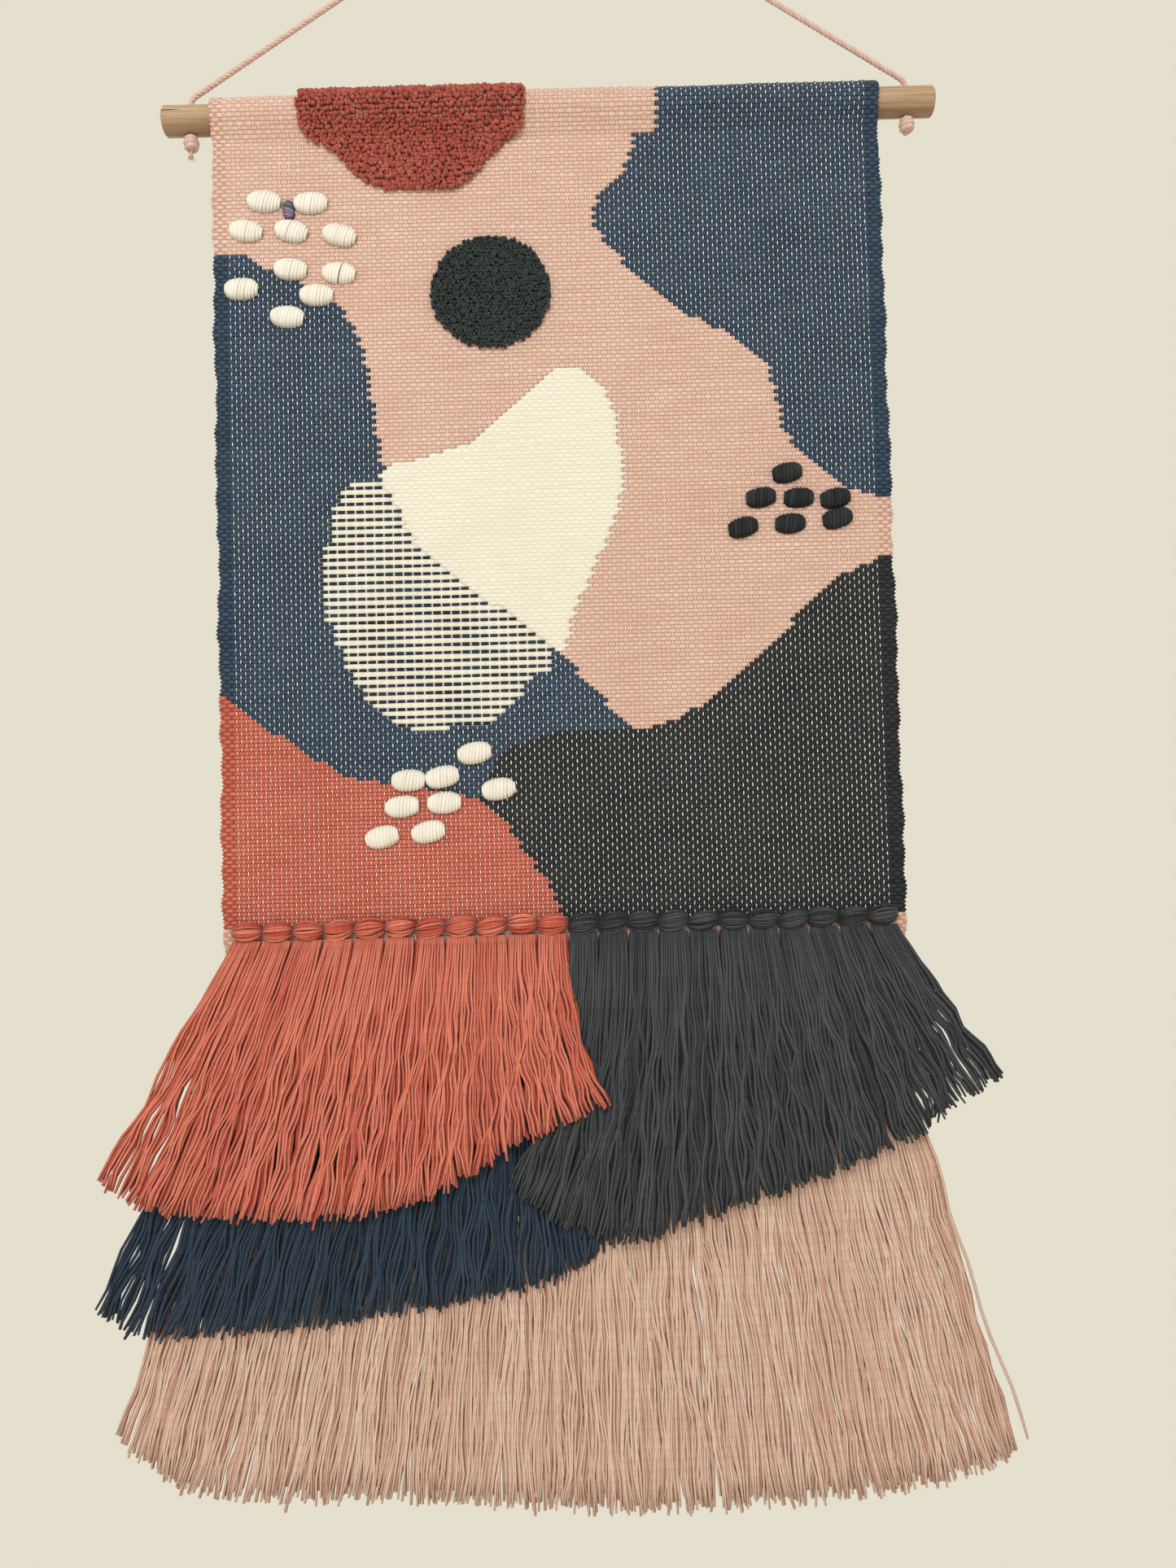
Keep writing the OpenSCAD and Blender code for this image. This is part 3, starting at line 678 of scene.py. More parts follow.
@dataclass
class Cord:
    """Twisted cotton cord from one rod hole over the hook to the other, and its knots."""

    strand: float = 1.2 * MM
    spread: float = 1.08 * MM
    lay: float = 11.0 * MM
    ring_step: float = 1.3 * MM
    node: str = "hanging_cord"

    def route(self) -> list[tuple[float, float, float]]:
        """Points that the cord follows, from the left hole's knot to the right one's."""
        left = [
            (-270, -206), (-270, -196), (-270, -186), (-270, -178), (-269.5, -175.3),
            (-268.1, -172.9), (-266.4, -171.3), (-240, -153.9), (-210, -134.1), (-180, -114.3),
            (-150, -94.5), (-120, -74.7), (-90, -55), (-60, -35.2), (-30, -15.4), (-6.7, 0),
            (-4.1, 1.3),
        ]
        right = [(-x, z) for x, z in reversed(left)]
        return [(x * MM, 0.0, z * MM) for x, z in left + [(0, 2)] + right]

    def build(self) -> bpy.types.Object:
        """Twists three strands along the route."""
        route = np.array(self.route())
        reach = lengths_along(route)
        rings = int(reach[-1] / self.ring_step)
        spots = np.linspace(0, reach[-1], rings)
        line = np.stack([np.interp(spots, reach, route[:, i]) for i in range(3)], axis=1)
        run = np.gradient(line, axis=0)
        run /= np.linalg.norm(run, axis=1, keepdims=True)
        depth = np.array([0.0, 1.0, 0.0])
        beside = np.cross(run, depth)
        strands = []
        for i in range(3):
            angle = math.tau * (spots / self.lay + i / 3)
            offset = np.cos(angle)[:, None] * depth + np.sin(angle)[:, None] * beside
            strands.append(line + self.spread * offset)
        radii = np.full((3, rings), self.strand)
        mesh = Tube(6, rings).sweep("cord", np.array(strands), radii, np.array([0.3, 0.6, 0.9]), depth)
        piece = link(mesh, "cord", COTTON.spun(turns=250))
        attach(piece, Body.HANGER.value)
        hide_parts(self.node)
        left = self.knot("cord_knot_left", True)
        right = self.knot("cord_knot_right", False)
        return piece

    def knot(self, node: str, frayed: bool) -> bpy.types.Object:
        """Drawn-up stopper knot.

        Args:
            node: Packed knot that it stands for.
            frayed: Whether loose fibres hang from it.

        Returns:
            The knot.
        """
        rng = np.random.default_rng(5 if frayed else 6)
        low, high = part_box(node)
        wide = (high.x - low.x) / 2
        tall = 6.5 * MM
        middle = np.array([(low.x + high.x) / 2, 0.0, high.z - tall])
        rings = 46
        share = np.linspace(0, 1, rings)
        angle = math.tau * (3.1 * share + 0.3)
        fall = 0.72 * tall * (1 - 2 * share) + 1.1 * MM * np.cos(angle)
        swell = np.sqrt(np.maximum(1 - (fall / tall) ** 2, 0.16))
        out = wide * swell - 1.9 * MM
        wrap = middle + np.stack([out * np.cos(angle), out * np.sin(angle), fall], axis=1)
        core = middle + np.stack([0 * share, 0 * share, 0.8 * tall * (1 - 2 * share)], axis=1)
        thick = np.full(rings, 2.0 * MM)
        plump = 3.4 * MM * np.sqrt(np.maximum(1 - (2 * share - 1) ** 2, 0.04))
        # The core, seen only between the wraps, takes the darker tint: painted shade between the wraps
        wraps = Tube(8, rings).sweep(node, np.array([wrap, core]), np.array([thick, plump]),
                                     np.array([0.5, 0.1]), np.array([[0, 0.05, 1], [0, 1, 0]]))
        piece = link(wraps, f"{node}_wraps", COTTON.spun(turns=250))
        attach(piece, Body.HANGER.value)
        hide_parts(node)
        if frayed:
            self.tail(middle - np.array([0, 0, 0.8 * tall]), low.z, rng)
        return piece

    def tail(self, top: np.ndarray, bottom: float, rng: np.random.Generator) -> None:
        """Loose fibres under the left knot.

        Args:
            top: Where they start.
            bottom: Lowest that they reach.
            rng: Source of their places.
        """
        count = 14
        share = np.linspace(0, 1, 7)
        drop = (top[2] - bottom) * rng.uniform(0.75, 1.0, count)
        lean = rng.normal(0, 1.7 * MM, (count, 2))
        paths = np.empty((count, 7, 3))
        paths[:, :, 0] = top[0] + lean[:, :1] * share ** 1.4
        paths[:, :, 1] = top[1] + lean[:, 1:] * share ** 1.4
        paths[:, :, 2] = top[2] - drop[:, None] * share
        radii = np.full((count, 7), 0.55 * MM) * np.array([1, 1, 1, 1, 0.9, 0.7, 0.3])
        mesh = Tube(5, 7).sweep("cord_tail", paths, radii, rng.random(count), (0, 1, 0.01))
        piece = link(mesh, "cord_tail", COTTON.spun(turns=400))
        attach(piece, Body.HANGER.value)


# ---- Woven cloth ----


@dataclass(frozen=True)
class Patch:
    """One colour of weft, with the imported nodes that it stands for."""

    name: str
    nodes: tuple[str, ...]
    dye: Dye
    second: Dye | None = None
    crosses_seam: bool = False


PATCHES = (
    Patch("cloth_hem", ("hem_flap",), PINK, crosses_seam=True),
    Patch("cloth_pink", ("weft_pink_field", "sleeve_pink"), PINK, crosses_seam=True),
    Patch("cloth_navy_right", ("weft_navy_right", "sleeve_navy"), NAVY, crosses_seam=True),
    Patch("cloth_navy_left", ("weft_navy_left",), NAVY),
    Patch("cloth_ivory", ("weft_ivory",), IVORY),
    Patch("cloth_stripes", ("weft_stripes_ivory", "weft_stripes_navy"), IVORY, second=NAVY),
    Patch("cloth_rust", ("weft_rust",), RUST),
    Patch("cloth_black", ("weft_black",), BLACK),
    Patch("cloth_band", ("weft_pink_band",), PINK),
)
HEM, FIELD, RIGHT = 0, 1, 2
PALE_PATCHES = (0, 1, 8)


class Cloth:
    """Weft-faced cloth from its hem over the rod and down to the bottom edge.

    Attributes:
        warps: Warp threads across the cloth.
        bare: Warps at each edge that show no dashes.
        pick_near: Width of a pick, before a whole number of them is fitted in.
        wave: How far a loop of weft lies out from the cloth's middle.
        yarn: Thickness of the cloth across a pick.
        groove: Thickness of the cloth between two picks.
        tuck: How far the colours above the pink band are moved down behind the knots.
        thread: Radius of a warp thread.
        thread_lift: How far a warp thread lies out from the cloth's middle.
        blush: Share of wool colour in the dashes of pale cloth.
        knot_reach: Height under the seam in which the edges keep clear of the cord's knots.
    """

    warps = 144
    bare = 3
    pick_near = 2.95 * MM
    wave = 0.45 * MM
    yarn = 3.0 * MM
    groove = 1.9 * MM
    tuck = 6.0 * MM
    thread = 0.7 * MM
    thread_lift = 1.0 * MM
    blush = 0.3
    knot_reach = 25 * MM

    def __init__(self) -> None:
        """Reads the cloth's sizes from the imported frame."""
        low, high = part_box("weft_pink_band")
        flap_low, flap_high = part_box("hem_flap")
        sleeve_low, sleeve_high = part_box("sleeve_pink")
        self.left, self.right = low.x, high.x
        self.thick = high.y - low.y
        self.front = (low.y + high.y) / 2
        self.bottom = low.z
        self.band = high.z
        self.outer = sleeve_high.y
        self.axis = sleeve_high.z - self.outer
        self.seam = sleeve_low.z
        self.flap_bottom = flap_low.z
        self.flap_depth = (flap_low.y + flap_high.y) / 2
        self.join = sleeve_high.x
        self.pitch = (self.right - self.left) / self.warps
        self.line = self.side_line()
        self.reach = lengths_along(self.line)
        self.picks = round(self.reach[-1] / self.pick_near)
        self.pick = self.reach[-1] / self.picks
        self.area = self.find_areas()

    def side_line(self) -> np.ndarray:
        """Depth and height of the cloth's middle, from the hem over the rod to the bottom."""
        ring = self.outer - self.thick / 2
        drop = self.seam - self.axis

        def touch(depth: float, side: int) -> float:
            """Angle at which the line from the seam meets the round part."""
            return math.atan2(drop, depth) + side * math.acos(ring / math.hypot(depth, drop))

        start = touch(self.flap_depth, 1)
        end = touch(self.front, -1) + math.tau
        bend = np.linspace(start, end, 120)
        arc = np.stack([ring * np.cos(bend), self.axis + ring * np.sin(bend)], axis=1)
        head = [(self.flap_depth, self.flap_bottom), (self.flap_depth, self.seam)]
        foot = [(self.front, self.seam), (self.front, self.bottom)]
        return np.concatenate([np.array(head), arc, np.array(foot)])

    def at(self, spots: np.ndarray) -> tuple[np.ndarray, np.ndarray]:
        """Place and outward direction along the side line.

        Args:
            spots: Lengths from the hem's cut edge.

        Returns:
            Depths and heights, and the outward directions.
        """
        def place(s: np.ndarray) -> np.ndarray:
            """Depth and height at a length."""
            return np.stack([np.interp(s, self.reach, self.line[:, i]) for i in (0, 1)], axis=-1)

        step = 1.2 * MM
        run = place(np.minimum(spots + step, self.reach[-1])) - place(np.maximum(spots - step, 0))
        run /= np.linalg.norm(run, axis=-1, keepdims=True)
        return place(spots), np.stack([run[..., 1], -run[..., 0]], axis=-1)

    def find_areas(self) -> np.ndarray:
        """Patch of each loop of weft, by warp and pick."""
        nodes = [(i, patch.nodes) for i, patch in enumerate(PATCHES) if i != HEM]
        owner = [i for i, names in nodes for name in names if name.startswith("weft")]
        solid = Solid(*[n for _, names in nodes for n in names if n.startswith("weft")])
        places, _ = self.at((np.arange(self.picks) + 0.5) * self.pick)
        top = np.argmax(places[:, 1])
        area = np.zeros((self.warps, self.picks), dtype=int)
        for j, (depth, height) in enumerate(places):
            on_flap = j < top and height < self.seam
            on_sleeve = height > self.seam and not on_flap
            for i in range(self.warps):
                x = self.left + (i + 0.5) * self.pitch
                if on_flap:
                    continue
                if on_sleeve:
                    area[i, j] = FIELD if x < self.join else RIGHT
                elif (i + j) % 2:
                    level = height + (0 if height < self.band - self.tuck else self.tuck)
                    found = solid.hit((x, -FAR, level), TOWARD_WALL)
                    index = found[1] if found else solid.nearest((x, depth, height))
                    area[i, j] = owner[index]
        return area

    def columns(self) -> np.ndarray:
        """Place of each vertex column: the two edges and each warp between them."""
        warps = self.left + (np.arange(self.warps) + 0.5) * self.pitch
        return np.concatenate([[self.left], warps, [self.right]])

    def faces_of(self) -> np.ndarray:
        """Patch of each face of the grid, by column and half pick."""
        patch = np.zeros((self.warps + 1, 2 * self.picks), dtype=int)
        for j in range(self.picks):
            for q in range(self.warps + 1):
                pair = [w for w in (q - 1, q) if 0 <= w < self.warps]
                over = [w for w in pair if (w + j) % 2]
                warp = over[0] if over else (1 if q == 0 else self.warps - 2)
                patch[q, 2 * j : 2 * j + 2] = self.area[warp, j]
        return patch

    def relief(self) -> tuple[np.ndarray, np.ndarray]:
        """Places of the outer and inner skins, by column and half pick.

        The slow waves are kept, so that the warp threads can follow them.

        Returns:
            The two skins' vertices.
        """
        rng = np.random.default_rng(11)
        col = np.arange(self.warps + 2)[:, None]
        row = np.arange(2 * self.picks + 1)[None, :]
        warp, pick = col - 1, row // 2
        middle = (row % 2 == 1) & (col > 0) & (col < self.warps + 1)
        inside = (col > self.bare) & (col <= self.warps - self.bare)
        sign = np.where((warp + pick) % 2 == 1, 1.0, -1.0)
        vary = 1 + 0.18 * rng.standard_normal((self.warps + 2, 2 * self.picks + 1)).clip(-2, 2)
        centre = np.where(middle & inside, sign, np.where(middle, 0.35, 0.0)) * self.wave * vary
        half = np.where(middle, self.yarn, self.groove) / 2 * (1 + 0.06 * (vary - 1))
        half = np.where(middle | inside, half, self.groove / 2.6)
        edge = (col == 0) | (col == self.warps + 1)
        half = np.where(edge, np.where(row % 2 == 1, 0.9 * MM, 0.5 * MM), half)
        spots = row * self.pick / 2 + 0.22 * MM * smooth_noise(rng, col / 17.0, row / 3.1)
        spots = np.clip(spots, 0, self.reach[-1])
        places, out = self.at(np.broadcast_to(spots, centre.shape))
        x = np.broadcast_to(self.columns()[:, None], centre.shape).copy()
        x += 0.18 * MM * smooth_noise(rng, col / 2.3, row / 9.0)
        lobe = np.where(row % 2 == 1, 0.9 * MM, -0.5 * MM) + 0.7 * MM * np.sin(row / 2.7)
        lobe = lobe + 1.0 * MM * smooth_noise(rng, row / 60.0)
        by_the_knots = places[..., 1] > self.seam - self.knot_reach
        lobe = np.where(by_the_knots, np.minimum(lobe, 0.0), lobe)
        x += np.where(col == 0, -lobe, 0) + np.where(col == self.warps + 1, lobe, 0)
        slow = 0.35 * MM * smooth_noise(rng, col / 30.0, row / 55.0)
        self.slow = slow
        skins = []
        for side in (1, -1):
            shift = (centre + side * half + slow)[..., None]
            deep = places + out * shift
            skins.append(np.stack([x, deep[..., 0], deep[..., 1]], axis=-1))
        return skins[0], skins[1]

    def build(self) -> list[bpy.types.Object]:
        """Weaves one closed piece for each patch."""
        wide, long = self.warps + 1, 2 * self.picks
        grid = bmesh.new()
        bmesh.ops.create_grid(grid, x_segments=wide, y_segments=long, size=0.5)
        spot = grid.verts.layers.int.new("spot")
        for vert in grid.verts:
            across = round((vert.co.x + 0.5) * wide)
            down = long - round((vert.co.y + 0.5) * long)
            vert[spot] = across * (long + 1) + down
        patch_of = self.faces_of()
        owner = []
        for face in grid.faces:
            middle = face.calc_center_median()
            across = int((middle.x + 0.5) * wide)
            down = long - 1 - int((middle.y + 0.5) * long)
            owner.append(patch_of[across, down])
        outer, inner = (skin.reshape(-1, 3) for skin in self.relief())
        pieces = []
        for i, patch in enumerate(PATCHES):
            share = grid.copy()
            share.faces.ensure_lookup_table()
            others = [f for f, mine in zip(share.faces, owner) if mine != i]
            bmesh.ops.delete(share, geom=others, context="FACES")
            pieces.append(self.skin(share, patch, outer, inner))
        grid.free()
        return pieces

    def skin(self, bm: bmesh.types.BMesh, patch: Patch, outer: np.ndarray,
             inner: np.ndarray) -> bpy.types.Object:
        """Closes one patch of the grid and lays it on the cloth.

        Args:
            bm: The patch's faces, flat.
            patch: Which patch it is.
            outer: Places of the outer skin.
            inner: Places of the inner skin.

        Returns:
            The finished piece.
        """
        lower = bm.verts.layers.int.new("lower")
        made = bmesh.ops.extrude_face_region(bm, geom=bm.faces[:] + bm.edges[:] + bm.verts[:],
                                             use_keep_orig=True)
        for item in made["geom"]:
            if isinstance(item, bmesh.types.BMVert):
                item.co.z -= 0.01
                item[lower] = 1
        bmesh.ops.recalc_face_normals(bm, faces=bm.faces[:])
        mesh = settle(bm, patch.name)
        spot = read(mesh.attributes["spot"].data, "value", kind=np.int32)
        deep = read(mesh.attributes["lower"].data, "value", kind=np.int32)
        places = np.where(deep[:, None] == 1, inner[spot], outer[spot])
        mesh.vertices.foreach_set("co", places.astype(np.float32).ravel())
        rows = 2 * self.picks + 1
        corner = spot[read(mesh.loops, "vertex_index", kind=np.int32)]
        across = (corner // rows) - 0.5
        across = np.clip(across, 0, self.warps)
        uv = np.stack([across, (corner % rows) / 2], axis=1).astype(np.float32)
        mesh.uv_layers.new(name="weave").data.foreach_set("uv", uv.ravel())
        for name in ("spot", "lower"):
            mesh.attributes.remove(mesh.attributes[name])
        mark(mesh, "side", np.where(deep == 1, -1.0, 1.0))
        mesh.update()
        piece = link(mesh, patch.name, patch.dye.woven(patch.second))
        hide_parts(*patch.nodes)
        self.attach(piece, patch.crosses_seam)
        return piece

    def attach(self, piece: bpy.types.Object, crosses_seam: bool) -> None:
        """Makes a piece follow the panel, or bakes its place into its mesh where it reaches over the
        seam.

        Args:
            piece: The piece.
            crosses_seam: Whether it reaches over the seam.
        """
        if crosses_seam:
            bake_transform(piece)
        else:
            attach(piece, Body.PANEL.value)

    def warp_threads(self, parts: int = 3) -> list[bpy.types.Object]:
        """Warp cotton that shows as a dash wherever it lies over the weft.

        The cloth is built first, which gives the slow waves that the threads follow.

        Args:
            parts: Pieces that the threads are shared out over.

        Returns:
            The pieces.
        """
        rng = np.random.default_rng(23)
        threads = np.arange(self.bare, self.warps - self.bare)
        picks = np.arange(2 * self.picks) // 2
        spots = (picks + np.where(np.arange(2 * self.picks) % 2, 0.76, 0.24)) * self.pick
        places, out = self.at(spots)
        material = warp_cotton(PINK)
        made = []
        for n, part in enumerate(np.array_split(threads, parts)):
            sign = np.where((part[:, None] + picks[None, :]) % 2 == 1, -1.0, 1.0)
            lift = sign * self.thread_lift + rng.normal(0, 0.08 * MM, sign.shape)
            lift = lift + self.slow[part + 1][:, :2 * self.picks]
            deep = places[None] + out[None] * lift[..., None]
            x = self.left + (part + 0.5) * self.pitch
            x = x[:, None] + rng.normal(0, 0.10 * MM, sign.shape)
            paths = np.stack([x, deep[..., 0], deep[..., 1]], axis=-1)
            radii = np.full(sign.shape, self.thread) * rng.uniform(0.8, 1.15, sign.shape)
            tube = Tube(3, 2 * self.picks)
            mesh = tube.sweep("warp", paths, radii, rng.random(len(part)), (1, 0, 0))
            pale = np.isin(self.near(part)[:, picks], PALE_PATCHES) * self.blush
            unit = tube.template()
            mark(mesh, "near", pale[:, tube.ring_of(unit)].ravel())
            bpy.data.meshes.remove(unit)
            piece = link(mesh, f"warp_threads_{n + 1}", material)
            self.attach(piece, True)
            made.append(piece)
        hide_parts("warp_threads")
        return made

    def near(self, part: np.ndarray) -> np.ndarray:
        """Patch beside each warp and pick, where the loop itself belongs to a neighbour.

        Args:
            part: Numbers of the warps.

        Returns:
            The patch, by warp and pick.
        """
        own = self.area[part]
        beside = self.area[part - 1]
        odd = (part[:, None] + np.arange(self.picks)[None, :]) % 2 == 1
        return np.where(odd, own, beside)

    def hem_stitches(self) -> bpy.types.Object:
        """Running stitches that hold the hem at the back."""
        boxes = [(g.min(axis=0), g.max(axis=0)) for g in Solid("hem_stitches").islands()]
        share = np.linspace(0, 1, 7)
        paths = []
        for low, high in boxes:
            x = low[0] + (high[0] - low[0]) * share
            y = low[1] - 0.6 * MM + 1.1 * MM * np.sin(math.pi * share)
            z = (low[2] + high[2]) / 2 + 0.8 * MM * (share - 0.5)
            paths.append(np.stack([x, y, z], axis=1))
        radii = np.full((len(paths), 7), 0.55 * MM)
        tints = np.linspace(0.2, 0.9, len(paths))
        mesh = Tube(6, 7).sweep("hem_stitches", np.array(paths), radii, tints, (0, 0, 1))
        piece = link(mesh, "hem_thread", WARP.spun(turns=300))
        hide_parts("hem_stitches")
        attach(piece, Body.PANEL.value)
        return piece


# ---- Pile ----


@dataclass
class Pile:
    """Cut tufts of the half-moon and the looped disc."""

    cloth: Cloth
    row: float = 2.7 * MM
    tuft: float = 2.2 * MM
    height: float = 5.0 * MM

    def half_moon(self) -> None:
        """Rows of cut tufts from the back of the rod down the front of the panel."""
        rng = np.random.default_rng(31)
        cloth = self.cloth
        solid = Solid("pile_half_moon")
        top_low, top_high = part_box("pile_half_moon_top")
        low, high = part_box("pile_half_moon")
        surface = cloth.thick / 2
        spots = np.arange(cloth.reach[-1] * 0.02, cloth.reach[-1] * 0.25, self.row)
        places, out = cloth.at(spots)
        brow = top_high.z - self.height - surface - 0.9 * MM
        start = np.argmax(places[:, 1] > brow)
        chosen = {"half_moon_top": [], "half_moon_panel": []}
        for n in range(int(start), len(spots)):
            depth, height = places[n]
            if height < low.z + 1.0 * MM and depth < 0:
                break
            if depth > 0 and height < brow:
                continue
            if height > top_low.z:
                sides = [top_low.x, top_high.x]
            elif height > high.z - 1 * MM:
                gap = (top_low.z - height) / (top_low.z - high.z)
                sides = [top_low.x + gap * (low.x - top_low.x), top_high.x + gap * (high.x - top_high.x)]
            else:
                hits = [x for x in np.arange(top_low.x - 0.01, top_high.x + 0.01, 0.5 * MM)
                        if solid.hit((x, -FAR, height), TOWARD_WALL)]
                if not hits:
                    continue
                sides = [hits[0], hits[-1]]
            count = max(1, int((sides[1] - sides[0]) / self.tuft))
            xs = np.linspace(sides[0] + 1.2 * MM, sides[1] - 1.2 * MM, count)
            xs = xs + rng.normal(0, 0.5 * MM, count)
            for x in xs:
                name = "half_moon_top" if height > cloth.seam + 6 * MM else "half_moon_panel"
                chosen[name].append((x, depth, height, out[n][0], out[n][1]))
        # Darker roots: painted shade down in the pile
        material = BRICK.spun(turns=200, root=2.6 * MM)
        for name, spots_of in chosen.items():
            mesh = self.tufts(name, np.array(spots_of), rng)
            piece = link(mesh, name, material)
            if name == "half_moon_top":
                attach(piece, Body.SLEEVE.value)
                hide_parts("pile_half_moon_top")
            else:
                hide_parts("pile_half_moon")
                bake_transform(piece)
            LOG.info("%s: %d tufts", name, len(spots_of))

    def tufts(self, name: str, spots: np.ndarray, rng: np.random.Generator) -> bpy.types.Mesh:
        """Short cut tufts that stand out of the cloth.

        Args:
            name: Name of the mesh.
            spots: Place along the cloth, depth, height and outward direction of each.
            rng: Source of their lean and size.

        Returns:
            The mesh.
        """
        count = len(spots)
        share = np.array([0.0, 0.45, 0.8, 1.0])
        base = spots[:, :3].copy()
        out = np.stack([np.zeros(count), spots[:, 3], spots[:, 4]], axis=1)
        base += out * (self.cloth.thick / 2 - 0.8 * MM)
        lean = rng.normal(0, 0.16, (count, 3))
        lean[:, 2] -= 0.12
        reach = self.height * rng.uniform(0.88, 1.08, count)
        reach = reach * (1 + 0.14 * smooth_noise(rng, spots[:, 0] / (28 * MM), spots[:, 2] / (4 * MM)))
        heading = out + lean
        heading /= np.linalg.norm(heading, axis=1, keepdims=True)
        paths = base[:, None] + heading[:, None] * (reach[:, None] * share)[..., None]
        plump = np.array([1.3, 1.6, 1.7, 1.0]) * MM
        radii = plump[None] * rng.uniform(0.85, 1.12, (count, 1))
        tints = np.clip(rng.normal(0.5, 0.25, count), 0, 1)
        return Tube(5, 4).sweep(name, paths, radii, tints, (1, 0.02, 0.01))

    def disc(self) -> None:
        """Looped pile of the round spot."""
        rng = np.random.default_rng(37)
        low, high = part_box("pile_disc")
        solid = Solid("pile_disc")
        ground = self.cloth.front - self.cloth.thick / 2 + 0.6 * MM
        bases = []
        for n, z in enumerate(np.arange(low.z + 1 * MM, high.z, 2.5 * MM)):
            shift = (n % 2) * 1.4 * MM
            for x in np.arange(low.x + shift, high.x, 2.8 * MM):
                x += rng.normal(0, 0.35 * MM)
                if solid.hit((x, -FAR, z), TOWARD_WALL):
                    bases.append((x, ground, z + rng.normal(0, 0.35 * MM)))
        base = np.array(bases)
        count = len(base)
        turn = rng.uniform(0, math.pi, count)
        share = np.linspace(0, 1, 6)
        arch = np.sin(math.pi * share)
        sway = -np.cos(math.pi * share)
        tall = self.height * rng.uniform(0.75, 1.05, count)
        reach = 1.5 * MM * rng.uniform(0.8, 1.2, count)
        paths = np.empty((count, 6, 3))
        paths[:, :, 0] = base[:, :1] + (reach * np.cos(turn))[:, None] * sway
        paths[:, :, 1] = base[:, 1:2] - tall[:, None] * arch ** 0.8
        paths[:, :, 2] = base[:, 2:] + (reach * np.sin(turn))[:, None] * sway
        across = np.stack([-np.sin(turn), np.full(count, 0.03), np.cos(turn)], axis=1)
        radii = np.full((count, 6), 1.2 * MM) * rng.uniform(0.85, 1.1, (count, 1))
        mesh = Tube(5, 6).sweep("disc_loops", paths, radii, rng.random(count), across)
        # Darker roots: painted shade where the loops leave the cloth
        piece = link(mesh, "disc_loops", BOUCLE.spun(turns=220, root=2.5 * MM))
        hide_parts("pile_disc")
        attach(piece, Body.PANEL.value)
        LOG.info("disc_loops: %d loops", count)


# ---- Wrapped stitches and knots ----


@dataclass
class Stitches:
    """Wool wound over and over to a plump bar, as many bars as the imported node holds."""

    node: str
    dye: Dye
    seed: int
    turns: int = 11
    slant: float = 3.2 * MM

    def build(self) -> bpy.types.Object:
        """Winds every bar of the node."""
        rng = np.random.default_rng(self.seed)
        paths, radii = [], []
        share = np.linspace(0, 1, 9)
        for points in Solid(self.node).islands():
            middle = (points.min(axis=0) + points.max(axis=0)) / 2
            back, front = points[:, 1].max(), points[:, 1].min()
            flat = points[:, [0, 2]] - middle[[0, 2]]
            _, axes = np.linalg.eigh(flat.T @ flat)
            long = axes[:, 1] * (1 if axes[0, 1] > 0 else -1)
            if abs(long[0]) < 0.3:
                long = axes[:, 1] * (1 if axes[1, 1] < 0 else -1)
            wide = np.array([-long[1], long[0]])
            half_l = np.abs(flat @ long).max()
            half_w = np.abs(flat @ wide).max()
            lean = self.slant * rng.uniform(0.5, 1.3)
            for k in range(self.turns):
                even = 2 * (k + 0.5) / self.turns - 1
                place = 0.6 * even + 0.4 * math.sin(even * math.pi / 2) + rng.normal(0, 0.01)
                round_off = max(1 - abs(place) ** 2.2, 0.05) ** 0.5
                tall = (back - front - 1.0 * MM) * (0.3 + 0.7 * round_off)
                width = (half_w - 0.8 * MM) * (0.22 + 0.78 * round_off)
                along = place * (half_l - 1.2 * MM) + lean * (share - 0.5) * (1 - place ** 2)
                along = along + 0.5 * MM * place * np.sin(math.pi * share)
                cross = -np.cos(math.pi * share) * width
                spots = middle[[0, 2]] + along[:, None] * long + cross[:, None] * wide
                depth = back + 0.6 * MM - (tall + 0.4 * MM) * np.sin(math.pi * share) ** 0.75
                paths.append(np.stack([spots[:, 0], depth, spots[:, 1]], axis=1))
                radii.append(np.full(9, half_l / self.turns * 1.3 * rng.uniform(0.94, 1.08)))
        count = len(paths)
        mesh = Tube(6, 9).sweep(self.node, np.array(paths), np.array(radii), rng.random(count),
                                (1, 0.02, 0.1))
        piece = link(mesh, f"{self.node}_wound", self.dye.spun(turns=190))
        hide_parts(self.node)
        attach(piece, Body.PANEL.value)
        LOG.info("%s: %d turns of wool", self.node, count)
        return piece


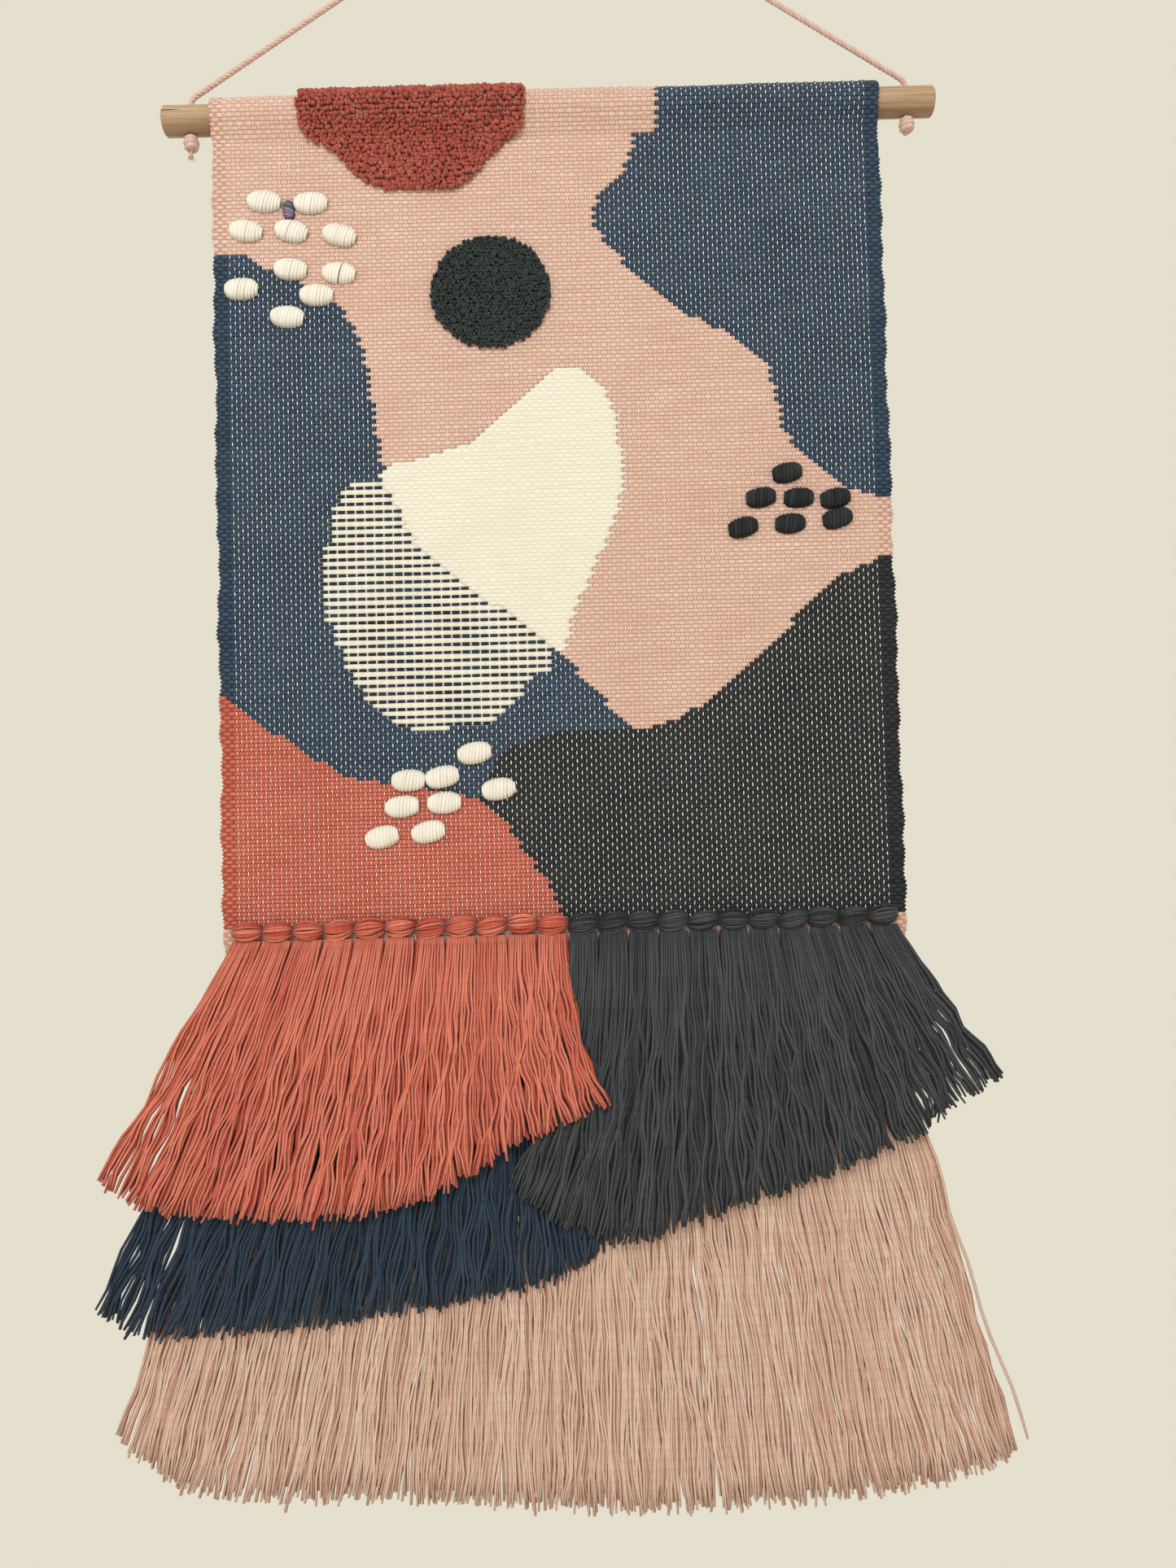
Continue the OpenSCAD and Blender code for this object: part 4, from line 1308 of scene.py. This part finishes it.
@dataclass
class Heads:
    """Row of rya knots, each a bundle of strands pinched at both ends."""

    node: str
    dye: Dye
    seed: int
    strands: int = 9
    yarn: float = 1.2 * MM
    raise_by: float = 0.7 * MM

    def build(self) -> bpy.types.Object:
        """Ties every knot of the row."""
        rng = np.random.default_rng(self.seed)
        paths, radii = [], []
        share = np.linspace(0, 1, 9)
        swell = np.sin(math.pi * share)
        for points in Solid(self.node).islands():
            low, high = points.min(axis=0), points.max(axis=0)
            middle = (low[2] + high[2]) / 2 + self.raise_by + rng.normal(0, 0.4 * MM)
            tall = (high[2] - low[2]) / 2 - self.yarn * 0.45
            deep = high[1] - low[1] - self.yarn
            lean = rng.normal(2.2 * MM, 1.6 * MM)
            order = rng.permutation(self.strands)
            for k in range(self.strands):
                fan = 2 * (k + 0.5) / self.strands - 1 + rng.normal(0, 0.05)
                x = low[0] - 0.3 * MM + (high[0] - low[0] + 0.6 * MM) * share
                skew = lean + rng.normal(0, 0.9 * MM)
                z = middle + fan * tall * (0.38 + 0.62 * swell ** 0.75) + skew * (share - 0.5)
                dome = math.sqrt(max(1 - (0.78 * fan) ** 2, 0.1))
                lift = deep * dome * (0.3 + 0.7 * swell ** 0.6) - 0.3 * MM * (order[k] % 3)
                paths.append(np.stack([x, high[1] - lift, z], axis=1))
                radii.append(self.yarn * (0.72 + 0.3 * swell) * rng.uniform(0.9, 1.08))
        count = len(paths)
        mesh = Tube(6, 9).sweep(self.node, np.array(paths), np.array(radii), rng.random(count),
                                (0, 0.05, 1))
        piece = link(mesh, f"{self.node}_tied", self.dye.spun(turns=170))
        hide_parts(self.node)
        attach(piece, Body.PANEL.value)
        return piece


# ---- Fringe ----


@dataclass
class Fringe:
    """One tier of loose yarn under its row of knots.

    Attributes:
        layers: Depths that the yarns are shared out over.
        yarn: Radius of a yarn in front.
        filler: Radius of the rearmost yarns, as a share of one in front.
        straight_side: 1 or -1 where the right or left edge starts straighter, else 0.
        clump_pull: How strongly the yarns draw together.
        gather: Fall over which the yarns spread out from their knot.
        bend: Fall by which the yarns have taken up the tier's turn; not used.
    """

    node: str
    knots: str
    body: Body
    dye: Dye
    seed: int
    yarns: int
    clumps: int
    layers: int = 3
    rings: int = 17
    yarn: float = 1.15 * MM
    filler: float = 1.4
    straight_side: int = 0
    clump_pull: float = 0.55
    gather: float = 22 * MM
    bend: float = 16 * MM

    def profile(self, solid: Solid) -> np.ndarray:
        """Front and back of the tier by height.

        Args:
            solid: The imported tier.

        Returns:
            Rows of height, front and back, from the bottom up.
        """
        low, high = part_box(self.node)
        rows = []
        for z in np.linspace(low.z + 2 * MM, high.z - 0.5 * MM, 60):
            for x in np.linspace(low.x + 4 * MM, high.x - 4 * MM, 61):
                front = solid.hit((x, -FAR, z), TOWARD_WALL)
                back = solid.hit((x, FAR, z), OUTWARD)
                if front and back:
                    rows.append((z, front[0].y, back[0].y))
                    break
        return np.array(rows)

    def build(self) -> bpy.types.Object:
        """Hangs the tier's yarns."""
        rng = np.random.default_rng(self.seed)
        solid = Solid(self.node)
        low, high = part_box(self.node)
        knot_low, knot_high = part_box(self.knots)
        shape = self.profile(solid)
        count = self.yarns
        u = (np.arange(count) + rng.uniform(0.1, 0.9, count)) / count
        heads = len(Solid(self.knots).islands())
        pitch = (knot_high.x - knot_low.x) / heads
        slot = np.minimum((u * heads).astype(int), heads - 1)
        local = u * heads - slot
        even = knot_low.x + u * (knot_high.x - knot_low.x)
        root = knot_low.x + (slot + 0.5 + (local - 0.5) * 0.88) * pitch
        tip = low.x + 1.5 * MM + u * (high.x - low.x - 3 * MM)
        top = knot_low.z + 1.5 * MM
        depth = shape[:, 1:].mean(axis=1)
        cut = np.array([self.cut_at(solid, x, float(depth[0]), low.z) for x in tip])
        shorter = 1 - 0.035 * rng.random(count)
        drop = (top - cut) * shorter - 2 * MM * rng.standard_normal(count).clip(-1, 1)
        stray = rng.random(count) < 0.02
        drop = np.where(stray, drop + 6 * MM * rng.random(count), drop)
        drop = np.minimum(drop, top - CAD_BOX[0].z)
        t = np.linspace(0, 1, self.rings)[None]
        near = {0: np.zeros(count), 1: u ** 3, -1: (1 - u) ** 3}[self.straight_side][:, None]
        lean = t ** (1.12 + 1.1 * near)
        fall = drop[:, None] * t
        x = even[:, None] + (tip - even)[:, None] * lean
        x = x + (root - even)[:, None] * np.exp(-fall / self.gather)
        ease = np.clip(t * 2.2, 0, 1)
        group = u[:, None] * self.clumps + 0.8 * smooth_noise(rng, u[:, None] * 3, t * 0.7)
        pull = self.clump_pull * ease * (0.75 + 0.35 * smooth_noise(rng, u[:, None] * 9, t))
        width = (high.x - low.x) / self.clumps
        x = x - pull * width * np.sin(group * math.tau) / math.tau
        wave = rng.uniform(35, 85, (count, 1)) * MM
        phase = rng.uniform(0, math.tau, (count, 1))
        size = rng.uniform(0.3, 1.2, (count, 1)) * MM
        x = x + size * ease * np.sin(math.tau * fall / wave + phase)
        x = x + 2.3 * MM * ease * smooth_noise(rng, u[:, None] * 16, t * 3.6)
        cross = (rng.random((count, 1)) < 0.03) * rng.normal(0, 7 * MM, (count, 1))
        x = x + cross * t ** 2
        z = top - fall
        mid = np.interp(z, shape[:, 0], depth)
        room = np.interp(z, shape[:, 0], (shape[:, 2] - shape[:, 1]) / 2) - self.yarn * self.filler
        layer = (np.arange(count) % self.layers) / max(self.layers - 1, 1) * 2 - 1
        part = layer[:, None] * 0.75 - 0.2 * np.cos(group * math.tau) * ease
        part = part + 0.16 * smooth_noise(rng, u[:, None] * 25, t * 2.5)
        y = mid + np.clip(part, -1, 1) * np.maximum(room, 0.2 * MM)
        paths = np.stack([x, y, z], axis=-1)
        taper = np.ones(self.rings)
        taper[-1] = 0.7
        taper[0] = 0.8
        girth = 1 + (self.filler - 1) * (layer[:, None] + 1) / 2
        radii = self.yarn * taper[None] * girth * rng.uniform(0.86, 1.08, (count, 1))
        # Rear layers painted darker and front layers lighter: painted shade and painted light by depth
        tints = np.clip(rng.normal(0.5, 0.22, count) - 0.35 * layer, 0, 1)
        mesh = Tube(5, self.rings).sweep(self.node, paths, radii, tints, (0, 1, 0))
        piece = link(mesh, f"{self.node}_yarns", self.dye.spun(turns=140))
        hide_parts(self.node)
        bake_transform(piece)
        LOG.info("%s: %d yarns", self.node, count)
        return piece

    def cut_at(self, solid: Solid, x: float, y: float, low: float) -> float:
        """Height of the tier's cut edge at one place.

        Args:
            solid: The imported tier.
            x: Place along the edge.
            y: Depth of the tier's middle.
            low: Lowest that the tier reaches.

        Returns:
            The height.
        """
        for step in (0, 1, -1, 2, -2, 4, -4, 8, -8):
            found = solid.hit((x + step * 0.5 * MM, y, low - 0.05), UPWARD)
            if found:
                return found[0].z
        return low


# ---- Room ----


@dataclass
class Room:
    """Pale floor and surround, soft lights and the camera."""

    clear_of_back: float = 1.5 * MM
    floor: float = -1.5
    half: float = 3.0
    lens: float = 27.03
    pitch: float = 2.14
    roll: float = -1.5
    stand: tuple[float, float, float] = (0.0166, -0.870, -0.7313)
    surround: tuple[float, float, float] = (0.783, 0.735, 0.612)

    def paint(self, name: str, code: str) -> bpy.types.Material:
        """Matt paint, the same from every side.

        Args:
            name: Name of the material.
            code: Its colour.

        Returns:
            The material.
        """
        r = Recipe(name)
        cloud = r.noise(1.5, detail=2.0)
        grain = r.noise(400.0, detail=2.0)
        colour = r.mix(cloud, shade(code), shade("f0eadf"))
        return r.surface(colour, r.bump(grain, 0.15, 0.3 * MM))

    def plane(self, name: str, turn: Matrix, material: bpy.types.Material) -> None:
        """Large flat face of the room.

        Args:
            name: Its name.
            turn: Where it goes.
            material: Its paint.
        """
        bm = bmesh.new()
        bmesh.ops.create_grid(bm, x_segments=1, y_segments=1, size=self.half)
        bm.transform(turn)
        mesh = settle(bm, name)
        link(mesh, name, material)

    def light(self, name: str, place: tuple, aim: tuple, size: float, power: float,
              colour: tuple) -> None:
        """Square soft light.

        Args:
            name: Its name.
            place: Where it stands.
            aim: What it points at.
            size: Its side.
            power: Its power in watts.
            colour: Its colour.
        """
        lamp = bpy.data.lights.new(name, "AREA")
        lamp.size = size
        lamp.energy = power
        lamp.color = colour
        holder = bpy.data.objects.new(name, lamp)
        heading = Vector(aim) - Vector(place)
        holder.matrix_world = (Matrix.Translation(place)
                               @ heading.to_track_quat("-Z", "Y").to_matrix().to_4x4())
        bpy.context.scene.collection.objects.link(holder)

    def build(self) -> None:
        """Sets up the room."""
        back = CAD_BOX[1].y + self.clear_of_back
        flat = Matrix.Translation((0, back - self.half, self.floor))
        self.plane("floor", flat, self.paint("floor_paint", "ece6da"))
        aim = (0, 0, -0.7)
        self.light("key", (-0.35, -1.9, 0.35), aim, 0.8, 20, (0.93, 0.97, 1.0))
        self.light("back", (0.6, 2.0, 0.2), aim, 1.4, 16, (0.94, 0.97, 1.0))
        world = bpy.data.worlds.new("room_air")
        world.use_nodes = True
        air = world.node_tree.nodes["Background"]
        air.inputs["Color"].default_value = (*self.surround, 1)
        air.inputs["Strength"].default_value = 1.0
        bpy.context.scene.world = world
        bpy.context.scene.view_settings.view_transform = "Standard"
        camera = bpy.data.cameras.new("camera")
        camera.sensor_fit = "VERTICAL"
        camera.sensor_height = 36
        camera.lens = self.lens
        camera.clip_start = 0.05
        holder = bpy.data.objects.new("camera", camera)
        tilt = Matrix.Rotation(math.radians(90 + self.pitch), 4, "X")
        roll = Matrix.Rotation(math.radians(self.roll), 4, "Z")
        holder.matrix_world = Matrix.Translation(self.stand) @ tilt @ roll
        bpy.context.scene.collection.objects.link(holder)
        bpy.context.scene.camera = holder


def main() -> None:
    """Builds the wall hanging and its room."""
    logging.basicConfig(level=logging.INFO, format="%(message)s")
    Room().build()
    Rod().build()
    Cord().build()
    cloth = Cloth()
    LOG.info("cloth: %d picks of %.2f mm", cloth.picks, cloth.pick / MM)
    for piece in cloth.build() + cloth.warp_threads() + [cloth.hem_stitches()]:
        LOG.info("%s: %d faces", piece.name, len(piece.data.polygons))
    pile = Pile(cloth)
    pile.half_moon()
    pile.disc()
    for stitches in (
        Stitches("stitches_white_upper", WHITE, 41),
        Stitches("stitch_violet", VIOLET, 42, turns=7),
        Stitches("stitches_black", BLACK, 43, turns=9),
        Stitches("stitches_white_lower", WHITE, 44),
    ):
        stitches.build()
    for heads in (
        Heads("knots_rust", RUST_FRINGE, 51),
        Heads("knots_slate", SLATE, 52),
        Heads("knots_navy", NAVY_FRINGE, 53, strands=7),
        Heads("knots_pink", PINK_FRINGE, 54, strands=7),
    ):
        heads.build()
    for fringe in (
        Fringe("fringe_rust", "knots_rust", Body.RUST, RUST_FRINGE, 61, 360, 34, straight_side=1),
        Fringe("fringe_slate", "knots_slate", Body.SLATE, SLATE, 62, 360, 34, straight_side=-1),
        Fringe("fringe_navy", "knots_navy", Body.NAVY, NAVY_FRINGE, 63, 380, 34),
        Fringe("fringe_pink", "knots_pink", Body.PINK, PINK_FRINGE, 64, 760, 58),
    ):
        fringe.build()


if __name__ == "__main__":
    main()
